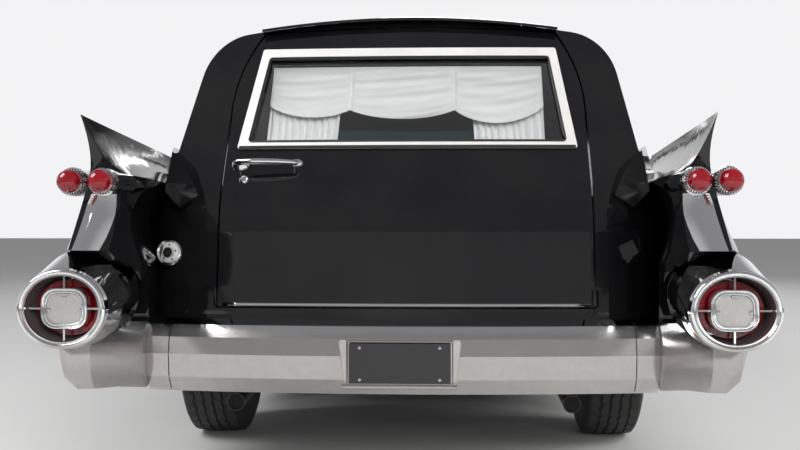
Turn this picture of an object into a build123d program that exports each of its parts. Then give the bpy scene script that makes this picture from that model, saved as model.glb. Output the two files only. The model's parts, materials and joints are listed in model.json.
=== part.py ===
# Long-wheelbase funeral coach of the late 1950s, with tall tail fins, twin bullet
# lamps and chromed bumper-end nacelles.
# Frame: +Y is the way the car drives, +X its right side, +Z up, millimetres.
# The origin is on the ground under the middle of the car.
from math import asin, cos, radians, sin
from build123d import *
import os

os.makedirs("parts", exist_ok=True)

# Overall sizes and wheel places
overall_length = 6375.0
overall_width = 2037.0
wheelbase = 3962.0
track = 1549.0
front_y = overall_length / 2
rear_y = -overall_length / 2
rear_overhang = 1537.5
rear_axle_y = rear_y + rear_overhang
front_axle_y = rear_axle_y + wheelbase

# Wheels
tyre_radius = 385.0
tyre_width = 225.0
rim_radius = 190.0
drum_radius = 118.0
drum_width = 55.0
running_gap = 0.3
kingpin_x = 612.0
kingpin_low_z = 262.0
kingpin_high_z = 508.0

# Shell thicknesses and panel gaps
side_wall = 55.0
roof_wall = 40.0
nose_wall = 40.0
panel_gap = 6.0
glass_inset = 16.0
glass_thickness = 6.0

# Heights and half widths of the lower body
shoulder_radius = 18.0
rocker_z = 240.0
door_bottom_z = 300.0
belt_z = 1010.0
rocker_half = 915.0
widest_z = 640.0
widest_half = 1003.0
belt_half = 955.0

# Stations along the body
hood_rear_y = 1710.0
firewall_y = 1640.0
front_door_y = 1250.0
pillar_y = 250.0
pillar_gap = 16.0
side_door_rear_y = -770.0
rail_z = 1490.0
nose_y = front_y - 77.5

# Rear door
rear_door_half = 617.0
rear_door_bottom_z = 575.0
rear_door_shoulder_z = 1220.0
rear_door_top_half = 530.0
rear_door_top_z = 1566.0

# Wheel arches
arch_radius = 432.0
arch_z = 400.0

# Load space and floor
deck_z = 600.0
deck_thickness = 18.0
floor_z = 300.0
floor_thickness = 20.0
rear_floor_z = 560.0
rear_floor_front_y = -800.0

# Columns: station along the car, half width at the belt, half width at the eaves,
# eaves height, crown height, eaves radius
roof_sections = [
    (1900.0, 850.0, 690.0, 1560.0, 1610.0, 120.0),
    (900.0, 862.0, 712.0, 1630.0, 1700.0, 130.0),
    (-600.0, 868.0, 726.0, 1645.0, 1722.0, 140.0),
    (-1500.0, 860.0, 736.0, 1612.0, 1690.0, 165.0),
    (-2090.0, 838.0, 724.0, 1524.0, 1597.0, 190.0),
    (-2650.0, 786.0, 694.0, 1400.0, 1465.0, 190.0),
]
roof_base_z = 960.0

# The cabin seen from above, at its base and at a height over the roof.
# Columns: height, front end on the centre line, rear end on the centre line, half width
cabin_plans = [
    (roof_base_z, 1705.0, -2480.0, 880.0),
    (1760.0, 940.0, -1965.0, 880.0),
]
front_bow = 330.0
rear_bow = 50.0
front_corner_radius = 320.0
rear_corner_radius = 240.0

# The lower body's rear end seen from above. Columns: height, rear end on the centre line
tail_plans = [
    (rocker_z - 20.0, -2584.0),
    (560.0, -2553.0),
    (820.0, -2522.0),
    (900.0, -2502.0),
    (roof_base_z + 3.0, -2479.5),
    (belt_z, -2444.0),
]
tail_half = 884.0
boom_front_y = -2110.0

# The tail boom under each fin as rear-view outlines. Columns: station, ridge, outer edge at
# the lamps, outer low edge, outer foot, inner foot, inner swell, waist, inner edge at the lamps,
# then how far the outer and inner arcs bow in
boom_sections = [
    (-3150.0, (858, 1144), (838, 1000), (884, 778), (900, 560), (800, 560), (806, 760), (784, 880), (792, 990), 3, 3),
    (-2760.0, (866, 1124), (903, 1000), (992, 770), (998, 520), (776, 520), (780, 735), (806, 868), (788, 987), 10, 9),
    (-2430.0, (873, 1108), (932, 1004), (1001, 720), (966, 350), (842, 350), (842, 735), (866, 850), (808, 982), 8, 8),
    (boom_front_y, (880, 1092), (950, 1008), (1002, 640), (922, 262), (862, 262), (862, 735), (868, 860), (862, 980),
     5, 5),
]
boom_belly = 12.0
# The fin's upper edge goes on forward as a crease on the shoulder.
crease_sections = [
    (boom_front_y - 200.0, (876, 1094), (920, 1000), (930, 965), (864, 965), (866, 1000)),
    (-480.0, (922, 1012), (940, 1004), (948, 965), (866, 965), (866, 1000)),
]
# The fin's trailing edge in side view
fin_rake = [(-3143, 1144), (-3072, 1000), (-3074, 912), (-3112, 770), (-3050, 742), (-2900, 705), (-2860, 640),
            (-2768, 560), (-2745, 262), (-1500, 262), (-1500, 1144)]
# The pointed shoulder between the raked cabin corner and the fin. Columns: station, points
shoulder_sections = [
    (-2500.0, (774, 1088), (716, 1010), (688, 942), (750, 900), (800, 955)),
    (-2280.0, (826, 1118), (720, 1060), (640, 960), (720, 860), (880, 940)),
]

# Bumper-end nacelle
nacelle_x = 895.0
nacelle_z = 616.0
nacelle_half_width = overall_width / 2 - nacelle_x
nacelle_half_height = 108.0
mouth_half_width = 101.0
mouth_half_height = 89.0
mouth_depth = 130.0
bumper_seam_x = 772.0
# The bumper end below it. Columns: distance right of centre, front edge, low point, belly, top point
skirt_sections = [
    (bumper_seam_x + 0.2, -2775.0, (-2812, 350), (-2856, 455), (-2800, 548)),
    (830.0, -2790.0, (-2905, 366), (-2948, 455), (-2908, 560)),
    (875.0, -2800.0, (-2975, 370), (-3018, 452), (-2985, 560)),
    (915.0, -2815.0, (-3005, 374), (-3044, 452), (-3015, 560)),
    (955.0, -2830.0, (-2995, 405), (-3030, 475), (-3005, 575)),
    (995.0, -2850.0, (-2960, 520), (-2978, 548), (-2965, 585)),
]
# How far the rear bumper's ends sweep forward of its middle, and its section at the middle
bumper_bow = 62.0
bumper_profile = [(-2520, 548), (-2800, 556), (-2842, 540), (-2868, 505), (-2880, 455), (-2872, 385), (-2838, 338),
                  (-2785, 336), (-2785, 352), (-2822, 360), (-2842, 400), (-2850, 458), (-2840, 495),
                  (-2825, 520), (-2520, 526)]

# Twin bullet lamps on each fin
lamp_z = 962.0
lamp_y = -3090.0
lamp_radius = 34.0
lamp_centres_x = (815.0, 900.0)


def export(part, name):
    part.label = name
    export_step(part, f"parts/{name}.step")


def flat(points, radius=0.0):
    """A closed outline of straight lines, with every corner rounded."""
    with BuildSketch() as outline:
        with BuildLine():
            Polyline(*points, close=True)
        make_face()
        if radius:
            fillet(outline.vertices(), radius)
    return outline.sketch


def side_block(points, radius=0.0, x0=0.0, x1=1300.0):
    """A block from a side-view outline of (y, z) points, between two distances right of centre."""
    with BuildPart() as block:
        with BuildSketch(Plane.YZ.offset(x0)):
            add(flat(points, radius))
        extrude(amount=x1 - x0)
    return block.part


def tail_block(points, radius=0.0, y0=-3500.0, y1=3500.0):
    """A block from a rear-view outline of (x, z) points, between two stations."""
    with BuildPart() as block:
        with BuildSketch(Plane.XZ.offset(-y0)):
            add(flat(points, radius))
        extrude(amount=y0 - y1)
    return block.part


def plan_block(points, radius=0.0, z0=0.0, z1=2000.0):
    """A block from a plan outline of (x, y) points, between two heights."""
    with BuildPart() as block:
        with BuildSketch(Plane.XY.offset(z0)):
            add(flat(points, radius))
        extrude(amount=z1 - z0)
    return block.part


def box_between(low, high):
    """A box from its low corner to its high corner."""
    x, y, z = [(low[i] + high[i]) / 2 for i in range(3)]
    with BuildPart() as block:
        with Locations((x, y, z)):
            Box(high[0] - low[0], high[1] - low[1], high[2] - low[2])
    return block.part


def post(x, y, z0, z1, radius):
    """A round upright."""
    with BuildPart() as upright:
        with BuildSketch(Plane.XY.offset(z0)):
            with Locations((x, y)):
                Circle(radius)
        extrude(amount=z1 - z0)
    return upright.part


def dome(radius, y0, y1, bulge):
    """A round lens along Y from y0 to y1, whose last stretch, bulge long, is a spherical cap."""
    sign = 1 if y1 > y0 else -1
    cap = (radius ** 2 + bulge ** 2) / (2 * bulge)
    half_angle = asin(radius / cap) / 2
    middle = (cap * sin(half_angle), y1 - sign * cap * (1 - cos(half_angle)))
    with BuildPart() as body:
        with BuildSketch(Plane.XY):
            with BuildLine():
                Polyline((0, y1), (0, y0), (radius, y0), (radius, y1 - sign * bulge))
                ThreePointArc((radius, y1 - sign * bulge), middle, (0, y1))
            make_face()
        revolve(axis=Axis.Y)
    return body.part


def rod(x0, x1, y, z, radius):
    """A round bar across the car."""
    with BuildPart() as bar:
        with BuildSketch(Plane.YZ.offset(x0)):
            with Locations((y, z)):
                Circle(radius)
        extrude(amount=x1 - x0)
    return bar.part


def tube_along(points, bends, radius):
    """A round bar along straight runs joined by tangent arcs."""
    with BuildPart() as bar:
        with BuildLine() as path:
            FilletPolyline(*points, radius=bends)
        with BuildSketch(Plane(path.line @ 0, z_dir=path.line % 0)):
            Circle(radius)
        sweep()
    return bar.part


def mirrored(part):
    return part.mirror(Plane.YZ)


def both_sides(part):
    """The right-hand piece with its left-hand twin, as two solids."""
    return Compound(part.solids() + mirrored(part).solids())


def roof_loft(inset):
    """The greenhouse from cowl to tail, drawn in by inset."""
    with BuildPart() as body:
        for y, half_belt, half_eaves, eaves_z, crown_z, radius in roof_sections:
            with BuildSketch(Plane.XZ.offset(-y)):
                with BuildLine():
                    base = Line((-half_belt + inset, roof_base_z), (half_belt - inset, roof_base_z))
                    right = Line(base @ 1, (half_eaves - inset, eaves_z - inset))
                    crown = ThreePointArc(
                        right @ 1, (0, crown_z - inset), (-half_eaves + inset, eaves_z - inset)
                    )
                    Line(crown @ 1, base @ 0)
                corners = make_face().vertices().group_by(Axis.Y)[-1]
                fillet(corners, radius - inset / 2)
        loft()
    return body.part


def cabin_plan_loft(inset):
    """A slanted block that gives the cabin its raked and rounded ends."""
    with BuildPart() as body:
        for z, front, rear, half in cabin_plans:
            with BuildSketch(Plane.XY.offset(z)):
                with BuildLine():
                    left = Line((-half + inset, front - front_bow - inset),
                                (-half + inset, rear + rear_bow + inset))
                    tail = ThreePointArc(left @ 1, (0, rear + inset), (half - inset, rear + rear_bow + inset))
                    right = Line(tail @ 1, (half - inset, front - front_bow - inset))
                    ThreePointArc(right @ 1, (0, front - inset), left @ 0)
                face = make_face()
                front_corners = face.vertices().group_by(Axis.Y)[-1]
                rear_corners = face.vertices().group_by(Axis.Y)[0]
                fillet(front_corners, front_corner_radius)
                fillet(rear_corners, rear_corner_radius)
        loft(ruled=True)
    return body.part


def cabin(inset):
    """The cabin over the belt, drawn in by inset."""
    with BuildPart() as body:
        add(roof_loft(inset))
        add(cabin_plan_loft(inset), mode=Mode.INTERSECT)
    return body.part


def cabin_layer(outer, inner):
    """A skin of the cabin between two insets."""
    with BuildPart() as layer:
        add(cabin(outer))
        add(cabin(inner), mode=Mode.SUBTRACT)
    return layer.part


def inside(shape, *zones):
    """The part of a shape that lies inside every zone."""
    with BuildPart() as kept:
        add(shape)
        for zone in zones:
            add(zone, mode=Mode.INTERSECT)
    return kept.part


def biggest(shape):
    return shape.solids().sort_by(SortBy.VOLUME)[-1]


def lower_section(inset, top):
    """The lower body's cross-section: rocker, widest line, and a shoulder under the belt."""
    with BuildSketch() as section:
        with BuildLine():
            base = Line((-rocker_half + inset, rocker_z), (rocker_half - inset, rocker_z))
            lower = ThreePointArc(base @ 1, (widest_half - inset - 32, 420), (widest_half - inset, widest_z))
            upper = ThreePointArc(lower @ 1, (widest_half - inset - 12, 830), (belt_half - inset, top))
            roof = Line(upper @ 1, (-belt_half + inset, top))
            left = ThreePointArc(roof @ 1, (-widest_half + inset + 12, 830), (-widest_half + inset, widest_z))
            ThreePointArc(left @ 1, (-widest_half + inset + 32, 420), base @ 0)
        fillet(make_face().vertices().group_by(Axis.Y)[-1], shoulder_radius)
    return section.sketch


def lower_block(inset, top, y0, y1):
    with BuildPart() as body:
        with BuildSketch(Plane.XZ.offset(-y0)):
            add(lower_section(inset, top))
        extrude(amount=y0 - y1)
    return body.part


def tail_plan_loft(inset):
    """A block with the raked and rounded rear face of the lower body."""
    half = tail_half - inset
    with BuildPart() as body:
        for z, rear in tail_plans:
            with BuildSketch(Plane.XY.offset(z)):
                with BuildLine():
                    left = Line((-half, boom_front_y), (-half, rear + rear_bow + inset))
                    tail = ThreePointArc(left @ 1, (0, rear + inset), (half, rear + rear_bow + inset))
                    right = Line(tail @ 1, (half, boom_front_y))
                    Line(right @ 1, left @ 0)
                face = make_face()
                fillet(face.vertices().group_by(Axis.Y)[0], rear_corner_radius)
        loft(ruled=True)
        add(box_between((-1100, boom_front_y, 0), (1100, 2600, 1200)))
    return body.part


def loft_outlines(rows):
    """A straight-sided loft through rear-view outlines, each a station and its points."""
    with BuildPart() as body:
        for y, *points in rows:
            with BuildSketch(Plane.XZ.offset(-y)):
                add(flat(points))
        loft(ruled=True)
    return body.part


def boom_loft():
    """The boom with its fin: arcs between the points of each row, joined by one smooth loft."""
    with BuildPart() as body:
        for y, ridge, outer, low, foot, in_foot, swell, waist, inner, bow, in_bow in boom_sections:
            with BuildSketch(Plane.XZ.offset(-y)):
                with BuildLine():
                    fin_side = ((ridge[0] + outer[0]) / 2 - bow, (ridge[1] + outer[1]) / 2 - bow)
                    flank = ((outer[0] + low[0]) / 2 - bow, (outer[1] + low[1]) / 2)
                    hollow = ((ridge[0] + inner[0]) / 2 + in_bow, (ridge[1] + inner[1]) / 2 - in_bow)
                    ThreePointArc(ridge, fin_side, outer)
                    ThreePointArc(outer, flank, low)
                    belly = ((low[0] + foot[0]) / 2 + boom_belly, (low[1] + foot[1]) / 2)
                    ThreePointArc(low, belly, foot)
                    Polyline(foot, in_foot, swell)
                    ThreePointArc(swell, waist, inner)
                    ThreePointArc(inner, hollow, ridge)
                make_face()
        loft()
    return body.part


def skirt_loft():
    """The bumper end under the nacelle, from the seam outward."""
    with BuildPart() as body:
        for x, front_y_, low, belly, top in skirt_sections:
            with BuildSketch(Plane.YZ.offset(x)):
                with BuildLine():
                    ThreePointArc(low, belly, top)
                    Polyline(top, (front_y_, top[1] - 4), (front_y_, low[1] + 4), low)
                make_face()
        loft(ruled=True)
    return body.part


def ellipse_block(x, z, rx, rz, y0, y1):
    with BuildPart() as body:
        with BuildSketch(Plane.XZ.offset(-y0)):
            with Locations((x, z)):
                Ellipse(rx, rz)
        extrude(amount=y0 - y1)
    return body.part


hinge_radius = 5.0

# Body surfaces, from which every panel is cut
well_half = 820.0
floor_opening_half = 860.0
tail_opening_half = 760.0
tail_wall_y = -2395.0
shell_rear_y = -2700.0
upper_shell = cabin_layer(0, roof_wall)
glass_shell = cabin_layer(glass_inset, glass_inset + glass_thickness)
drape_shell = cabin_layer(roof_wall + running_gap, roof_wall + 18)
with BuildPart() as side_hollow:
    add(lower_block(side_wall, belt_z - 50, shell_rear_y, front_door_y + 30))
    add(tail_plan_loft(side_wall), mode=Mode.INTERSECT)
with BuildPart() as body_shape:
    add(lower_block(0, belt_z, shell_rear_y, front_door_y + 20))
    add(tail_plan_loft(0), mode=Mode.INTERSECT)
    add(side_hollow.part, mode=Mode.SUBTRACT)
    add(box_between((-well_half, boom_front_y, 250), (well_half, front_door_y + 30, belt_z + 20)),
        mode=Mode.SUBTRACT)
    add(box_between((-floor_opening_half, shell_rear_y, 0), (floor_opening_half, 1400, door_bottom_z)),
        mode=Mode.SUBTRACT)
    add(box_between((-tail_opening_half, tail_wall_y, 0), (tail_opening_half, -2000, belt_z + 20)),
        mode=Mode.SUBTRACT)
    add(upper_shell)
body_shell = body_shape.part

# Outlines of the openings, as (y, z) in side view and (x, z) in rear view
half_gap = panel_gap / 2
front_door_rear_y = pillar_y + pillar_gap / 2
side_door_front_y = pillar_y - pillar_gap / 2
front_door_outline = [
    (front_door_rear_y, door_bottom_z), (front_door_y - half_gap, door_bottom_z),
    (front_door_y - half_gap, belt_z + 5), (765, rail_z - panel_gap), (front_door_rear_y, rail_z - panel_gap),
]
side_door_outline = [
    (side_door_rear_y + half_gap, door_bottom_z), (side_door_front_y, door_bottom_z),
    (side_door_front_y, rail_z - panel_gap), (side_door_rear_y + half_gap, rail_z - panel_gap),
]
front_window = [(330, 1065), (1125, 1065), (738, 1440), (330, 1440)]
side_window = [(-700, 1065), (180, 1065), (180, 1440), (-700, 1440)]
quarter_window = [(-1930, 1065), (-840, 1065), (-840, 1440), (-1790, 1440)]
window_radius = 28.0
windshield_outline = [(-770, 1050), (770, 1050), (640, 1478), (-640, 1478)]
rear_window_outline = [(-549, 1126), (549, 1126), (506, 1453), (-506, 1453)]
rear_frame_outline = [(-583, 1103), (583, 1103), (531, 1485), (-531, 1485)]


def rear_door_block(grow):
    """The rear door's outline through the tail, grown by a gap."""
    half = rear_door_half + grow
    top_half = rear_door_top_half + grow
    with BuildPart() as block:
        with BuildSketch(Plane.XZ.offset(2800)):
            with BuildLine():
                base = Line((-half, rear_door_bottom_z - grow), (half, rear_door_bottom_z - grow))
                right = Line(base @ 1, (half, rear_door_shoulder_z))
                shoulder = ThreePointArc(
                    right @ 1, (half - 21, 1400), (top_half, rear_door_top_z - 22 + grow)
                )
                top = ThreePointArc(
                    shoulder @ 1, (0, rear_door_top_z + grow), (-top_half, rear_door_top_z - 22 + grow)
                )
                left = ThreePointArc(top @ 1, (-half + 21, 1400), (-half, rear_door_shoulder_z))
                Line(left @ 1, base @ 0)
            make_face()
        extrude(amount=-900)
    return block.part


below_rail = side_block(
    [(-3000, 0), (front_door_y + half_gap, 0), (front_door_y + half_gap, belt_z + 8),
     (761, rail_z), (-3000, rail_z)], 0, -1300, 1300)

# Roof with its windshield posts
windshield_opening = tail_block(windshield_outline, window_radius, 600, 2000)
with BuildPart() as roof:
    add(upper_shell)
    add(below_rail, mode=Mode.SUBTRACT)
    add(box_between((-1000, 1200, 0), (1000, 2000, belt_z)), mode=Mode.SUBTRACT)
    add(windshield_opening, mode=Mode.SUBTRACT)
    add(rear_door_block(panel_gap), mode=Mode.SUBTRACT)
export(roof.part, "roof")
export(inside(glass_shell, windshield_opening), "windshield")

# Side doors and their glass
door_rows = [
    ("front_door", front_door_outline, front_window, front_door_y),
    ("side_door", side_door_outline, side_window, side_door_rear_y),
]
hinge_heights = [(560, 610), (690, 740)]
for door_name, outline, window, hinge_y in door_rows:
    opening = side_block(window, window_radius)
    with BuildPart() as door:
        add(body_shell)
        add(side_block(outline), mode=Mode.INTERSECT)
        add(opening, mode=Mode.SUBTRACT)
        for low, high in hinge_heights:
            add(post(widest_half, hinge_y, low, high, hinge_radius))
    glass = inside(glass_shell, opening)
    export(door.part, f"{door_name}_right")
    export(mirrored(door.part), f"{door_name}_left")
    export(glass, f"{door_name}_glass_right")
    export(mirrored(glass), f"{door_name}_glass_left")

# The pods of the twin bullet lamps. Columns: distance forward of the lens, radius
pod_profile = [(0.0, 36.0), (20.0, 40.0), (70.0, 38.0), (187.0, 38.0), (455.0, 5.0)]


def pod_at(x, grow):
    """A lamp pod along Y whose surface is moved out by grow."""
    with BuildPart() as pod:
        with BuildSketch(Plane.XY):
            with BuildLine():
                Polyline((0, -grow), *[(radius + grow, y - grow) for y, radius in pod_profile[:1]],
                         *[(radius + grow, y) for y, radius in pod_profile[1:]],
                         (0, pod_profile[-1][0] + grow), close=True)
            make_face()
        revolve(axis=Axis.Y)
    return pod.part.moved(Location((x, lamp_y + 2, lamp_z)))


bullet_lens = dome(lamp_radius - 2, -0.3, -62, 30)
pods = [pod_at(x, 0) for x in lamp_centres_x]

# The rear door's hinge stands on its outer surface.
rear_hinge_x = rear_door_half + half_gap
rear_hinge_y = -2527.0
rear_hinge_radius = 10.0
rear_hinge_z = (580.0, 630.0)

# Rear quarters with the booms and fins
with BuildPart() as boom:
    add(boom_loft())
    add(side_block(fin_rake), mode=Mode.INTERSECT)
with BuildPart() as crease:
    add(loft_outlines(crease_sections))
    add(box_between((0, -2400, 0), (1200, side_door_rear_y - half_gap, 1200)), mode=Mode.INTERSECT)
nacelle_room = ellipse_block(nacelle_x, nacelle_z + 12, nacelle_half_width + 12, nacelle_half_height + 38,
                             -3200, -2780)
with BuildPart() as quarter_shape:
    add(body_shell)
    add(side_block([(-2700, 240), (side_door_rear_y - half_gap, 240), (side_door_rear_y - half_gap, rail_z),
                    (-2700, rail_z)]), mode=Mode.INTERSECT)
    add(boom.part)
    add(crease.part)
    add(loft_outlines(shoulder_sections))
    add(rod(500, 1300, rear_axle_y, arch_z, arch_radius), mode=Mode.SUBTRACT)
    add(rear_door_block(panel_gap), mode=Mode.SUBTRACT)
    add(post(rear_hinge_x, rear_hinge_y, rear_hinge_z[0] - 5, rear_hinge_z[1] + 5, rear_hinge_radius + running_gap),
        mode=Mode.SUBTRACT)
    add(side_block(quarter_window, window_radius), mode=Mode.SUBTRACT)
    add(box_between((0, -2700, 0), (1200, rear_axle_y, 340)), mode=Mode.SUBTRACT)
    add(nacelle_room, mode=Mode.SUBTRACT)
    add(box_between((0, -2700, 0), (745, -2250, 525)), mode=Mode.SUBTRACT)
    add(post(widest_half, side_door_rear_y, 550, 750, hinge_radius + running_gap), mode=Mode.SUBTRACT)
    for x in lamp_centres_x:
        add(pod_at(x, running_gap), mode=Mode.SUBTRACT)
quarter = biggest(quarter_shape.part)
export(quarter, "quarter_right")
export(mirrored(quarter), "quarter_left")
export(both_sides(inside(glass_shell, side_block(quarter_window, window_radius))), "quarter_glass")

# Rear door with its glass, window frame, handle and curtain
rear_opening = tail_block(rear_window_outline, 14, -2800, -1900)
with BuildPart() as rear_panel:
    add(body_shell)
    add(rear_door_block(0), mode=Mode.INTERSECT)
    add(rear_opening, mode=Mode.SUBTRACT)
with BuildPart() as rear_door:
    add(biggest(rear_panel.part))
    add(post(rear_hinge_x, rear_hinge_y, *rear_hinge_z, rear_hinge_radius))
export(rear_door.part, "rear_door")
export(inside(glass_shell, rear_opening), "rear_door_glass")
with BuildPart() as window_frame:
    add(cabin_layer(-7, -running_gap))
    add(tail_block(rear_frame_outline, 10, -2800, -1900), mode=Mode.INTERSECT)
    add(rear_opening, mode=Mode.SUBTRACT)
export(window_frame.part, "rear_window_frame")
curtain_zone = tail_block([(-575, 1070), (575, 1070), (522, 1475), (-522, 1475)], 0, -2800, -1900)
export(inside(drape_shell, curtain_zone, rear_door_block(-30)), "rear_curtains")
side_curtain_zone = side_block([(-1900, 1050), (-815, 1050), (-815, 1470), (-1800, 1470)])
export(both_sides(inside(drape_shell, side_curtain_zone)), "side_curtains")

handle_z = 1052.0
handle_radius = 9.0
handle_left_x = -562.0
handle_right_x = -372.0
grip_y = -2455.0
handle_foot_y = -2395.0
with BuildPart() as rear_handle:
    with BuildLine() as grip:
        FilletPolyline((handle_left_x, handle_foot_y, handle_z), (handle_left_x, grip_y, handle_z),
                       (handle_right_x, grip_y, handle_z), (handle_right_x, handle_foot_y, handle_z), radius=12)
    with BuildSketch(Plane(grip.line @ 0, z_dir=grip.line % 0)):
        Circle(handle_radius)
    sweep()
    add(body_shell, mode=Mode.SUBTRACT)
    add(rear_opening, mode=Mode.SUBTRACT)
export(biggest(rear_handle.part), "rear_door_handle")

# Drip visor over the rear door
with BuildPart() as visor:
    add(roof_loft(-10))
    add(roof_loft(-running_gap), mode=Mode.SUBTRACT)
    add(box_between((-541, -2112, 1450), (541, -2035, 1700)), mode=Mode.INTERSECT)
export(visor.part, "roof_visor")

# Nose: fenders, hood, cowl and the panel over the grille. Outlines run back from nose_y.
hood_half = 735.0
hood_front_y = nose_y - 70
split_x = hood_half + panel_gap
tunnel_half = 80.0
tunnel_z = 445.0
grille_low_z = 545.0
grille_high_z = 872.0
nose_side = [(front_door_y + half_gap, belt_z), (hood_rear_y, belt_z), (nose_y - 70, 942), (nose_y - 14, 905),
             (nose_y, 870), (nose_y, 560), (nose_y - 25, 400), (front_door_y + half_gap, 200)]
nose_inside = [(1200, belt_z - nose_wall), (hood_rear_y, belt_z - nose_wall), (nose_y - 80, 902),
               (nose_y - 48, 870), (nose_y - 40, 560), (nose_y - 65, 400), (nose_y - 65, 100), (1200, 100)]
nose_plan = [(-1100, 1200), (1100, 1200), (1100, nose_y - 150), (960, nose_y - 50), (0, nose_y + 5),
             (-960, nose_y - 50), (-1100, nose_y - 150)]
nose_inner_plan = [(-1100, 1100), (1100, 1100), (1100, nose_y - 195), (925, nose_y - 88), (-925, nose_y - 88),
                   (-1100, nose_y - 195)]
with BuildPart() as nose_hollow:
    add(lower_block(nose_wall, belt_z - nose_wall, 1200, nose_y + 90))
    add(side_block(nose_inside, 0, -1200, 1200), mode=Mode.INTERSECT)
    add(plan_block(nose_inner_plan, 0, 0, 1200), mode=Mode.INTERSECT)
with BuildPart() as nose:
    add(lower_block(0, belt_z, front_door_y + half_gap, nose_y + 90))
    add(side_block(nose_side, 0, -1200, 1200), mode=Mode.INTERSECT)
    add(plan_block(nose_plan, 0, 0, 1200), mode=Mode.INTERSECT)
    add(nose_hollow.part, mode=Mode.SUBTRACT)
    add(box_between((-860, 1200, 0), (860, nose_y - 150, 320)), mode=Mode.SUBTRACT)
    add(box_between((-1100, 2800, 0), (1100, nose_y + 190, grille_low_z)), mode=Mode.SUBTRACT)
    add(box_between((-900, nose_y - 110, grille_low_z - 20), (900, nose_y + 190, grille_high_z)),
        mode=Mode.SUBTRACT)
    add(rod(600, 1300, front_axle_y, arch_z, arch_radius), mode=Mode.SUBTRACT)
    add(rod(-1300, -600, front_axle_y, arch_z, arch_radius), mode=Mode.SUBTRACT)
nose_shell = nose.part

# The ridge along the hood's middle. Columns: station, points
hood_ridge = [
    (hood_front_y - 20, (-18, 938), (0, 956), (18, 938)),
    (hood_rear_y + 80, (-62, 1001), (0, 1023), (62, 1001)),
]
hood_hinges = rod(560, 640, hood_rear_y, belt_z, hinge_radius)
hinge_recess = rod(555, 645, hood_rear_y, belt_z, hinge_radius + running_gap)
with BuildPart() as hood:
    add(nose_shell)
    add(box_between((-hood_half, hood_rear_y + half_gap, 800), (hood_half, hood_front_y, 1200)),
        mode=Mode.INTERSECT)
    add(hood_hinges)
    add(mirrored(hood_hinges))
    add(loft_outlines(hood_ridge))
export(hood.part, "hood")
with BuildPart() as cowl_shape:
    add(nose_shell)
    add(box_between((-split_x, 1200, 800), (split_x, hood_rear_y - half_gap, 1200)), mode=Mode.INTERSECT)
    add(box_between((-split_x, firewall_y, 330), (split_x, firewall_y + 20, belt_z - nose_wall)))
    add(hinge_recess, mode=Mode.SUBTRACT)
    add(mirrored(hinge_recess), mode=Mode.SUBTRACT)
    add(box_between((-tunnel_half - 15, firewall_y - 5, 300), (tunnel_half + 15, firewall_y + 30, tunnel_z + 15)),
        mode=Mode.SUBTRACT)
cowl = cowl_shape.part
export(cowl, "cowl")
export(inside(nose_shell, box_between((-split_x, hood_front_y + panel_gap, 800), (split_x, nose_y + 190, 1200))),
       "nose_panel")
with BuildPart() as fender:
    add(biggest(inside(nose_shell, box_between((split_x, 1200, 0), (1200, nose_y + 190, 1200)))))
    add(post(widest_half, front_door_y, 550, 750, hinge_radius + running_gap), mode=Mode.SUBTRACT)
export(fender.part, "fender_right")
export(mirrored(fender.part), "fender_left")

# Grille with its centre bar and headlamp panels
grille_y = nose_y - 87.7
grille_depth = 32.0
lamp_centres = (650.0, 812.0)
headlamp_z = 786.0
headlamp_radius = 76.0
with BuildPart() as grille:
    with BuildSketch(Plane.XZ.offset(-grille_y)):
        with Locations((0, (grille_low_z + grille_high_z) / 2)):
            Rectangle(1790, grille_high_z - grille_low_z)
        with Locations((0, 786)):
            with GridLocations(44, 48, 24, 3):
                Rectangle(34, 38, mode=Mode.SUBTRACT)
        with Locations((0, 617)):
            with GridLocations(44, 48, 40, 2):
                Rectangle(34, 38, mode=Mode.SUBTRACT)
        for side in (-1, 1):
            for x in lamp_centres:
                with Locations((side * x, headlamp_z)):
                    Circle(headlamp_radius, mode=Mode.SUBTRACT)
    extrude(amount=-grille_depth)
    with BuildSketch(Plane.XZ.offset(-grille_y - grille_depth)):
        with Locations((0, 690)):
            Rectangle(1760, 30)
        for side in (-1, 1):
            for x in lamp_centres:
                with Locations((side * x, headlamp_z)):
                    Circle(headlamp_radius + 9)
                    Circle(headlamp_radius, mode=Mode.SUBTRACT)
    extrude(amount=-22)
export(grille.part, "grille")

lens = dome(headlamp_radius - 0.3, 4, 54, 16)
headlamps = [
    lens.moved(Location((side * x, grille_y, headlamp_z)))
    for side in (-1, 1) for x in lamp_centres
]
# Pairs of parking lamps sit in pods at the front bumper's ends.
bumper_pod_x = 745.0
bumper_pod_y = front_y - 110
bumper_pod_z = 457.5
bumper_pod_depth = 45.0
parking_lens = dome(48, 0, 30, 12)
parking_lamps = [
    parking_lens.moved(Location((side * (bumper_pod_x + offset), bumper_pod_y - bumper_pod_depth + running_gap,
                                 bumper_pod_z)))
    for side in (-1, 1) for offset in (-55.0, 55.0)
]
export(Compound(headlamps + parking_lamps), "headlamps")

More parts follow.
